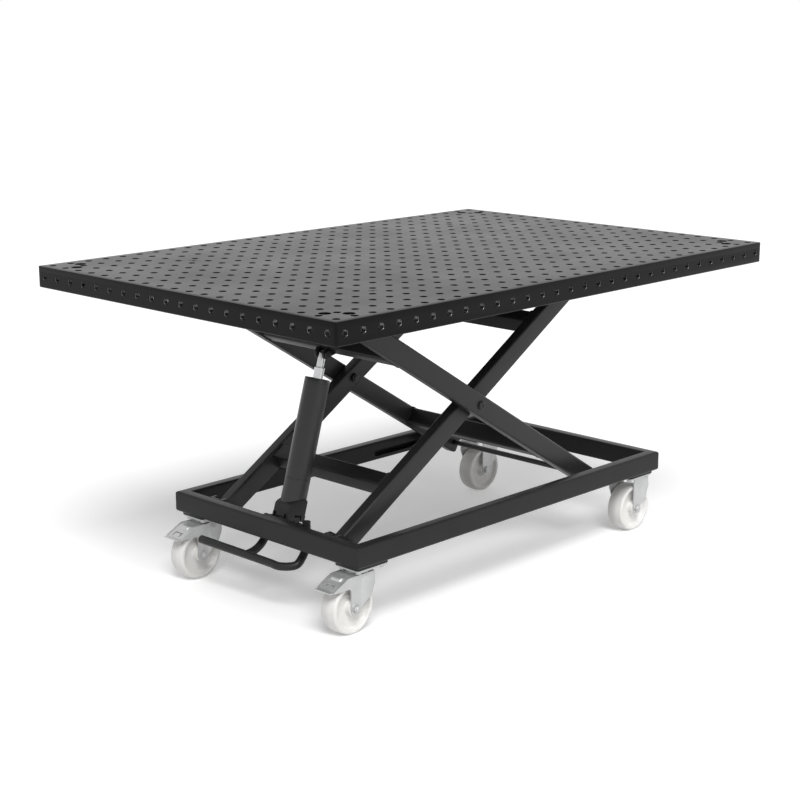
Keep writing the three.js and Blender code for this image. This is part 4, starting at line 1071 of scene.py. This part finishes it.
def add_foot_bracket():
    bm = bmesh.new()
    ear0 = BOSS_HALF + PLAY
    ear1 = ear0 + BRACKET_PLATE
    z0, z1 = BASE_BOTTOM + 1, BASE_TOP - 1
    back = BACK_X + BRACKET_BACK
    ear = [(back, z0 + FOOT_EAR_RISE), *nose(FOOT, FOOT_EAR_RADIUS), (back, FOOT.z + FOOT_EAR_RADIUS)]
    lug = [(BACK_X, PEDAL_PIVOT.z - PEDAL_LUG_RADIUS), *nose(PEDAL_PIVOT, PEDAL_LUG_RADIUS),
           (BACK_X, PEDAL_PIVOT.z + PEDAL_LUG_RADIUS)]
    for y in (-ear1, ear0):
        prism(bm, ear, y, y + BRACKET_PLATE, flat_y, FOOT_EAR_EDGE)
    for y in (PEDAL_LUG_Y, -ear1, ear0):
        prism(bm, lug, y - OVERLAP, y + BRACKET_PLATE + OVERLAP, flat_y, EDGE)
    block(bm, BACK_X, back, PEDAL_LUG_Y, ear1, z0, z1)
    pin(bm, FOOT_PIN_RADIUS, -ear1 - 1, ear1 + 1, FOOT.x, FOOT.z)
    for y0, y1 in ((-PUMP_HALF, -ear1), (ear1, PUMP_HALF)):
        pin(bm, FOOT_HEAD_RADIUS, y0, y1, FOOT.x, FOOT.z, 1.2)
    dress("cylinder_foot_bracket", bm, "frame_black")


# Foot pedal: a bent round bar with a second leg welded to it
def pedal_leg(y, start, top):
    run, rise = PEDAL_PIVOT.x - start.x, BASE_BOTTOM - start.z
    bends = [Vector((start.x + along * run, y, start.z + up * rise)) for along, up in PEDAL_LEG_BENDS]
    last = [Vector((PEDAL_PIVOT.x, y, (BASE_BOTTOM + PEDAL_PIVOT.z) / 2)), Vector((PEDAL_PIVOT.x, y, top))]
    return [Vector((start.x, y, start.z)), *bends, *last]


def add_pedal():
    bend = Vector((PEDAL_BAR.x, PEDAL_NEAR_Y + PEDAL_CORNER, PEDAL_BAR.z))

    def bar_at(y):
        return bend.lerp(PEDAL_TIP, (y - bend.y) / (PEDAL_TIP.y - bend.y))

    bm = bmesh.new()
    near = pedal_leg(PEDAL_NEAR_Y, PEDAL_BAR, PEDAL_PIVOT.z + PEDAL_HOOK_RISE)
    path = catmull_rom([PEDAL_TIP, bar_at(bend.y + PEDAL_CORNER), bend, *near[1:]], CURVE_STEPS)
    sweep(bm, path, PEDAL_RADIUS, SMALL_SIDES, dome=PEDAL_DOME)
    start = bar_at(PEDAL_FAR_Y)
    leg = pedal_leg(PEDAL_FAR_Y, start, PEDAL_PIVOT.z - PEDAL_EYE_RADIUS - 6)
    sweep(bm, catmull_rom(leg, CURVE_STEPS), PEDAL_RADIUS, SMALL_SIDES)
    weld = circle(0, 0, PEDAL_RADIUS + 0.6, 20)
    bead(bm, [start + Vector((PEDAL_RADIUS + 0.4, y, z * 0.75)) for y, z in weld])
    x, z, radius = PEDAL_PIVOT.x, PEDAL_PIVOT.z, PEDAL_EYE_RADIUS
    eye = arc(x, z, radius, 0, 180, 16) + [(x - radius, z - PEDAL_EYE_DROP), (x + radius, z - PEDAL_EYE_DROP)]
    prism(bm, eye, PEDAL_FAR_Y - PEDAL_EYE_HALF, PEDAL_FAR_Y + PEDAL_EYE_HALF, flat_y, EDGE)
    dress("foot_pedal", bm, "frame_black")
    bm = bmesh.new()
    pin(bm, PEDAL_SHAFT_RADIUS, PEDAL_NEAR_Y - PEDAL_RADIUS - 1, PEDAL_FAR_Y + PEDAL_RADIUS + 1, x, z)
    dress("pedal_shaft", bm, "pin_steel")


# Castors, drawn at their own axis with the wheel trailing to -X
def wheel():
    """Cast wheel: banded tread, rounded shoulders, raised rim, a web dished towards a slim hub."""
    half = [(WHEEL_RADIUS, 0), (WHEEL_RADIUS, 7.0), (62.2, 7.8), (61.2, 17.5), (60.3, 20.2), (58.6, 21.9),
            (56.6, 22.5), (52.6, 22.5), (51.4, 21.9), (50.6, 20.6), (49.6, 15.2), (48.4, 12.9), (46.0, 11.7),
            (42.0, 11.2), (24.0, 10.6), (20.6, 11.2), (18.6, 12.8), (17.8, 15.4), (17.2, HUB_HALF - EDGE),
            (16.4, HUB_HALF), (10.4, HUB_HALF), (9.9, HUB_HALF - EDGE), (6.9, HUB_HALF - EDGE)]
    profile = [(r, -h) for r, h in reversed(half)] + half[1:]
    bm = bmesh.new()
    lathe(bm, profile, ROUND_SIDES * 3 // 2, TURN_Y, closed=True)
    return bm


def fork_leg(bm, outline, side, crease, top, way=1):
    """Pressed leg beside the wheel: a flat strip, and a wing that swells beyond the crease."""

    def place(u, v, face):
        along = min(1, max(0, (u - crease) / CREASE_WIDTH))
        fade = min(1, max(0, (top - v) / CREASE_FADE))
        lift = 4 * CREASE_BULGE * along * (1 - along) * fade
        return (way * u, side * ((FORK_INNER if face else FORK_OUTER) + lift), v)

    pressed(bm, outline, [], SHEET_SPACING, place)


def axle(bm, x):
    """Axle bolt with a washer, a nut and its thread end on each side of the fork."""
    face = FORK_OUTER
    pin(bm, AXLE_BOLT_RADIUS, -face - AXLE_BOLT_END, face + AXLE_BOLT_END, x, WHEEL_RADIUS)
    washer = [(0, face), (WASHER_RADIUS, face), (WASHER_RADIUS, face + WASHER), (0, face + WASHER)]
    for turn in (TURN_Y, TURN_Y.inverted()):
        place = Matrix.Translation((x, 0, WHEEL_RADIUS)) @ turn
        lathe(bm, washer, SMALL_SIDES, place)
        hex_nut(bm, AXLE_NUT_RADIUS, face + WASHER - OVERLAP, face + AXLE_NUT_END, place)


def swivel_fork():
    bm = bmesh.new()
    rear, front = -TRAIL - TOE_RADIUS, TOE_RADIUS - TRAIL
    outline = rounded_polygon([
        (28, CROWN_TOP, 2), (28, 112, 14), (10, 84, 14), (front, 60, 16), (front, TOE_LOW, TOE_ROUND),
        (rear, TOE_LOW, TOE_ROUND), (rear, 112, 9), (-72, 112, 6), (-98, 112.5, 1), (-97, 116.5, 1),
        (HOOD_KNEE, CROWN_TOP, 7)])
    for side in (1, -1):
        fork_leg(bm, outline, side, CREASE_X, CROWN_TOP)
    crown = rounded_rect(2 * BEARING_RADIUS - 1, 2 * FORK_OUTER - 1, 5)
    prism(bm, crown, CROWN_TOP - FORK_SHEET, CROWN_TOP, flat_z, EDGE)
    axle(bm, -TRAIL)
    return bm


def fixed_fork(shift):
    bm = bmesh.new()
    top = CASTOR_HEIGHT - SEAT
    low = top - FORK_SHEET
    outline = rounded_polygon([
        (42, low, 1), (42, 118, 14), (31, 90, 14), (TOE_RADIUS, 62, 16), (TOE_RADIUS, TOE_LOW, TOE_ROUND),
        (-TOE_RADIUS, TOE_LOW, TOE_ROUND), (-TOE_RADIUS, low, 1)])
    for side in (1, -1):
        fork_leg(bm, outline, side, TRAIL + CREASE_X, top, -side)
    head_plate(bm, low, top, shift)
    axle(bm, 0)
    return bm


def head_plate(bm, low, high, shift):
    """Castor's plate, centred under its mounting plate, with four nuts and their bolt ends below it."""
    outline = rounded_rect(HEAD_LENGTH, HEAD_WIDTH, TUBE_RADIUS)
    prism(bm, [(x + shift.x, y + shift.y) for x, y in outline], low, high, flat_z, EDGE)
    for sx, sy in CORNERS:
        place = Matrix.Translation((shift.x + sx * NUT_X, shift.y + sy * NUT_Y, 0))
        hex_nut(bm, 7.6, low - 6.2, low, place)
        lathe(bm, [(0, low - 7.2), (3.2, low - 7.2), (4, low - 6.6), (4, low - 6)], 16, place)


def castor_head(shift):
    """Head plate with the bearing under it, both races showing."""
    bm = bmesh.new()
    top = CASTOR_HEIGHT - SEAT
    low, floor = top - HEAD_THICKNESS, CROWN_TOP + SEAT
    head_plate(bm, low, top, shift)
    wide, slim = BEARING_RADIUS, BEARING_RADIUS - 1
    profile = [(0, low), (wide - 3, low), (wide, low - 2.4), (wide, low - 5), (slim, low - 5.6),
               (slim, low - 6.4), (wide, low - 7), (wide, floor + 1), (slim, floor), (0, floor)]
    lathe(bm, profile, ROUND_SIDES)
    return bm


def brake_lever():
    """Folded lever between the hood's cheeks: bumps, a ridge past the knee, a cut tongue and a toe."""
    top = CROWN_TOP - 1
    low = top - LEVER_FALL
    folds = [(LEVER_START, top, 0), (HOOD_KNEE, top, 9), (LEVER_BEND, low, 5), (LEVER_TOE, low + 0.5, 0)]
    path = rounded_polygon(folds, 6, False)
    marks = [0.0]
    for (ax, az), (bx, bz) in zip(path, path[1:]):
        marks.append(marks[-1] + math.hypot(bx - ax, bz - az))
    length = marks[-1]
    edge = length - LEVER_LIP
    crest = LEVER_START - HOOD_KNEE + RIDGE_AT

    def along(s):
        i = max(k for k in range(len(path) - 1) if marks[k] <= s or k == 0)
        (ax, az), (bx, bz) = path[i], path[i + 1]
        t = (s - marks[i]) / (marks[i + 1] - marks[i])
        way = Vector((bx - ax, bz - az)).normalized()
        return ax + (bx - ax) * t, az + (bz - az) * t, (way.y, -way.x)

    def raised(s, y):
        lift = 0.0
        for cs, cy, radius, height in LEVER_BUMPS:
            near = math.hypot(s - cs, y - cy) / radius
            lift += height * (0.5 + 0.5 * math.cos(math.pi * near)) if near < 1 else 0
        off = (s - crest) / RIDGE_HALF
        ridge = RIDGE_HEIGHT * math.sqrt(1 - off * off) if abs(off) < 1 else 0
        return lift + ridge * min(1, max(0, (RIDGE_REACH - abs(y)) / LEVER_GRID))

    def place(s, y, face):
        x, z, (nx, nz) = along(min(max(s, 0), length))
        out = (raised(s, y) if s < edge - 1 else 0) - LEVER_SHEET * face
        return (x + nx * out, y, z + nz * out)

    half, slot = LEVER_HALF, TONGUE_HALF - TONGUE_CUT
    rim = [(0, -half), (edge, -half), (length, -half), (length, half), (edge, half), (0, half)]
    start, root = TONGUE_START, TONGUE_START + TONGUE_CUT
    cut = [(start, -TONGUE_HALF), (TONGUE_END, -TONGUE_HALF), (TONGUE_END, -slot), (root, -slot),
           (root, slot), (TONGUE_END, slot), (TONGUE_END, TONGUE_HALF), (start, TONGUE_HALF)]
    tongue = rounded_polygon([(s, y, 1) for s, y in cut], 2)
    bm = bmesh.new()
    pressed(bm, fine(rim, LEVER_GRID), [tongue], LEVER_GRID, place)
    pin(bm, LEVER_PIN_RADIUS, -FORK_INNER - 1, FORK_INNER + 1, LEVER_PIN_X, CROWN_TOP - LEVER_PIN_DROP)
    return bm


def add_castors():
    for name, side in SIDES:
        y = side * CASTOR_Y
        for end, way, x, trail in (("front", -1, FRONT_CASTOR_X, -TRAIL), ("rear", 1, REAR_CASTOR_X, 0)):
            low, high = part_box(f"castor_mount_{end}_{name}")
            outer = Vector(((high if way > 0 else low).x, (high if side > 0 else low).y)) / MM
            middle = outer - Vector((way * MOUNT_LENGTH, side * MOUNT_WIDTH)) / 2
            bm = bmesh.new()
            plate = rounded_rect(MOUNT_LENGTH, MOUNT_WIDTH, TUBE_RADIUS)
            prism(bm, plate, low.z / MM, BASE_BOTTOM, flat_z, EDGE)
            dress(f"castor_mount_{end}_{name}", bm, "frame_black", Matrix.Translation((*middle, 0)))
            place = Matrix.Translation((x, y, 0))
            shift = middle - Vector((x, y))
            hub = Matrix.Translation((trail, 0, WHEEL_RADIUS))
            dress(f"castor_wheel_{end}_{name}", wheel(), "wheel_polyamide", place @ hub)
            if end == "rear":
                dress(f"castor_fork_rear_{name}", fixed_fork(shift), "castor_zinc", place)
                continue
            dress(f"castor_head_front_{name}", castor_head(shift), "castor_zinc", place)
            dress(f"castor_fork_front_{name}", swivel_fork(), "castor_zinc", place)
            dress(f"brake_lever_front_{name}", brake_lever(), "castor_zinc", place)


add_plate()
add_skirts()
add_top_bolts()
add_frame("lift", RAIL_LENGTH, RAIL_BOTTOM, UPPER_PIVOT.z)
add_frame("base", BASE_LENGTH, BASE_BOTTOM, LOWER_PIVOT.z)
add_pivots()
add_scissor()
add_cylinder()
add_foot_bracket()
add_pedal()
add_castors()

# Ribs under the top keep their model shape
for name, _ in SIDES:
    rib = frame["nodes"]["top_rib_" + name]
    rib.data.materials.clear()
    rib.data.materials.append(MATERIALS["plate_steel"])


# Floor, light and camera
FLOOR_COLOR = (0.84, 0.84, 0.84, 1)
FLOOR_GLOW = 0.28
FLOOR_REACH = 40
AMBIENT = 0.40
CAMERA_PLACE = (-2.9163, -2.7667, 1.3726)
CAMERA_TURN = math.radians(44.05)
CAMERA_DROP = math.radians(13.592)
CAMERA_LENS = 74.81
CAMERA_SENSOR = 36


def by_ray(tree, hidden, seen):
    """One level for rays from the camera, a reflection or glass, another for those that only light."""
    path = tree.nodes.new("ShaderNodeLightPath")
    share = path.outputs["Is Camera Ray"]
    for kind in ("Is Glossy Ray", "Is Transmission Ray"):
        most = tree.nodes.new("ShaderNodeMath")
        most.operation = "MAXIMUM"
        tree.links.new(share, most.inputs[0])
        tree.links.new(path.outputs[kind], most.inputs[1])
        share = most.outputs["Value"]
    level = tree.nodes.new("ShaderNodeMapRange")
    level.inputs["To Min"].default_value = hidden
    level.inputs["To Max"].default_value = seen
    tree.links.new(share, level.inputs["Value"])
    return level.outputs["Result"]


def pale_floor():
    made = Finish("pale_floor")
    made.tree.nodes.remove(made.shader)
    diffuse = made.add("BsdfDiffuse", "BSDF", {}, {"Color": FLOOR_COLOR})
    glow = made.add("Emission", "Emission", {"Strength": by_ray(made.tree, 0, FLOOR_GLOW)}, {})
    both = made.add("AddShader", "Shader", {0: diffuse, 1: glow}, {})
    made.fill(made.tree.nodes["Material Output"], {"Surface": both}, {})
    return made.material


bm = bmesh.new()
corners = ((-1, -1), (1, -1), (1, 1), (-1, 1))
bm.faces.new(ring(bm, [(sx * FLOOR_REACH, sy * FLOOR_REACH, 0) for sx, sy in corners]))
mesh = bpy.data.meshes.new("floor")
bm.to_mesh(mesh)
bm.free()
mesh.materials.append(pale_floor())
floor = bpy.data.objects.new("floor", mesh)
bpy.context.scene.collection.objects.link(floor)

world = bpy.data.worlds.new("white_room")
bpy.context.scene.world = world
world.use_nodes = True
background = world.node_tree.nodes["Background"]
background.inputs["Color"].default_value = (1, 1, 1, 1)
world.node_tree.links.new(by_ray(world.node_tree, AMBIENT, 1.0), background.inputs["Strength"])


def soft_sun(name, way, strength, spread):
    """Wide distant lamp that shines along a direction."""
    light = bpy.data.lights.new(name, "SUN")
    light.energy = strength
    light.angle = math.radians(spread)
    lamp = bpy.data.objects.new(name, light)
    lamp.rotation_euler = Vector(way).to_track_quat("-Z", "Y").to_euler()
    bpy.context.scene.collection.objects.link(lamp)


soft_sun("key", (0.48, 0.66, -1), 2.5, 28)
soft_sun("fill", (0.0, 1.0, -0.35), 0.35, 15)

camera = bpy.data.objects.new("camera", bpy.data.cameras.new("camera"))
camera.data.sensor_width = CAMERA_SENSOR
camera.data.lens = CAMERA_LENS
camera.location = CAMERA_PLACE
level = math.cos(CAMERA_DROP)
ahead = Vector((math.cos(CAMERA_TURN) * level, math.sin(CAMERA_TURN) * level, -math.sin(CAMERA_DROP)))
camera.rotation_euler = ahead.to_track_quat("-Z", "Y").to_euler()
bpy.context.scene.collection.objects.link(camera)
bpy.context.scene.camera = camera
bpy.context.scene.view_settings.view_transform = "Standard"
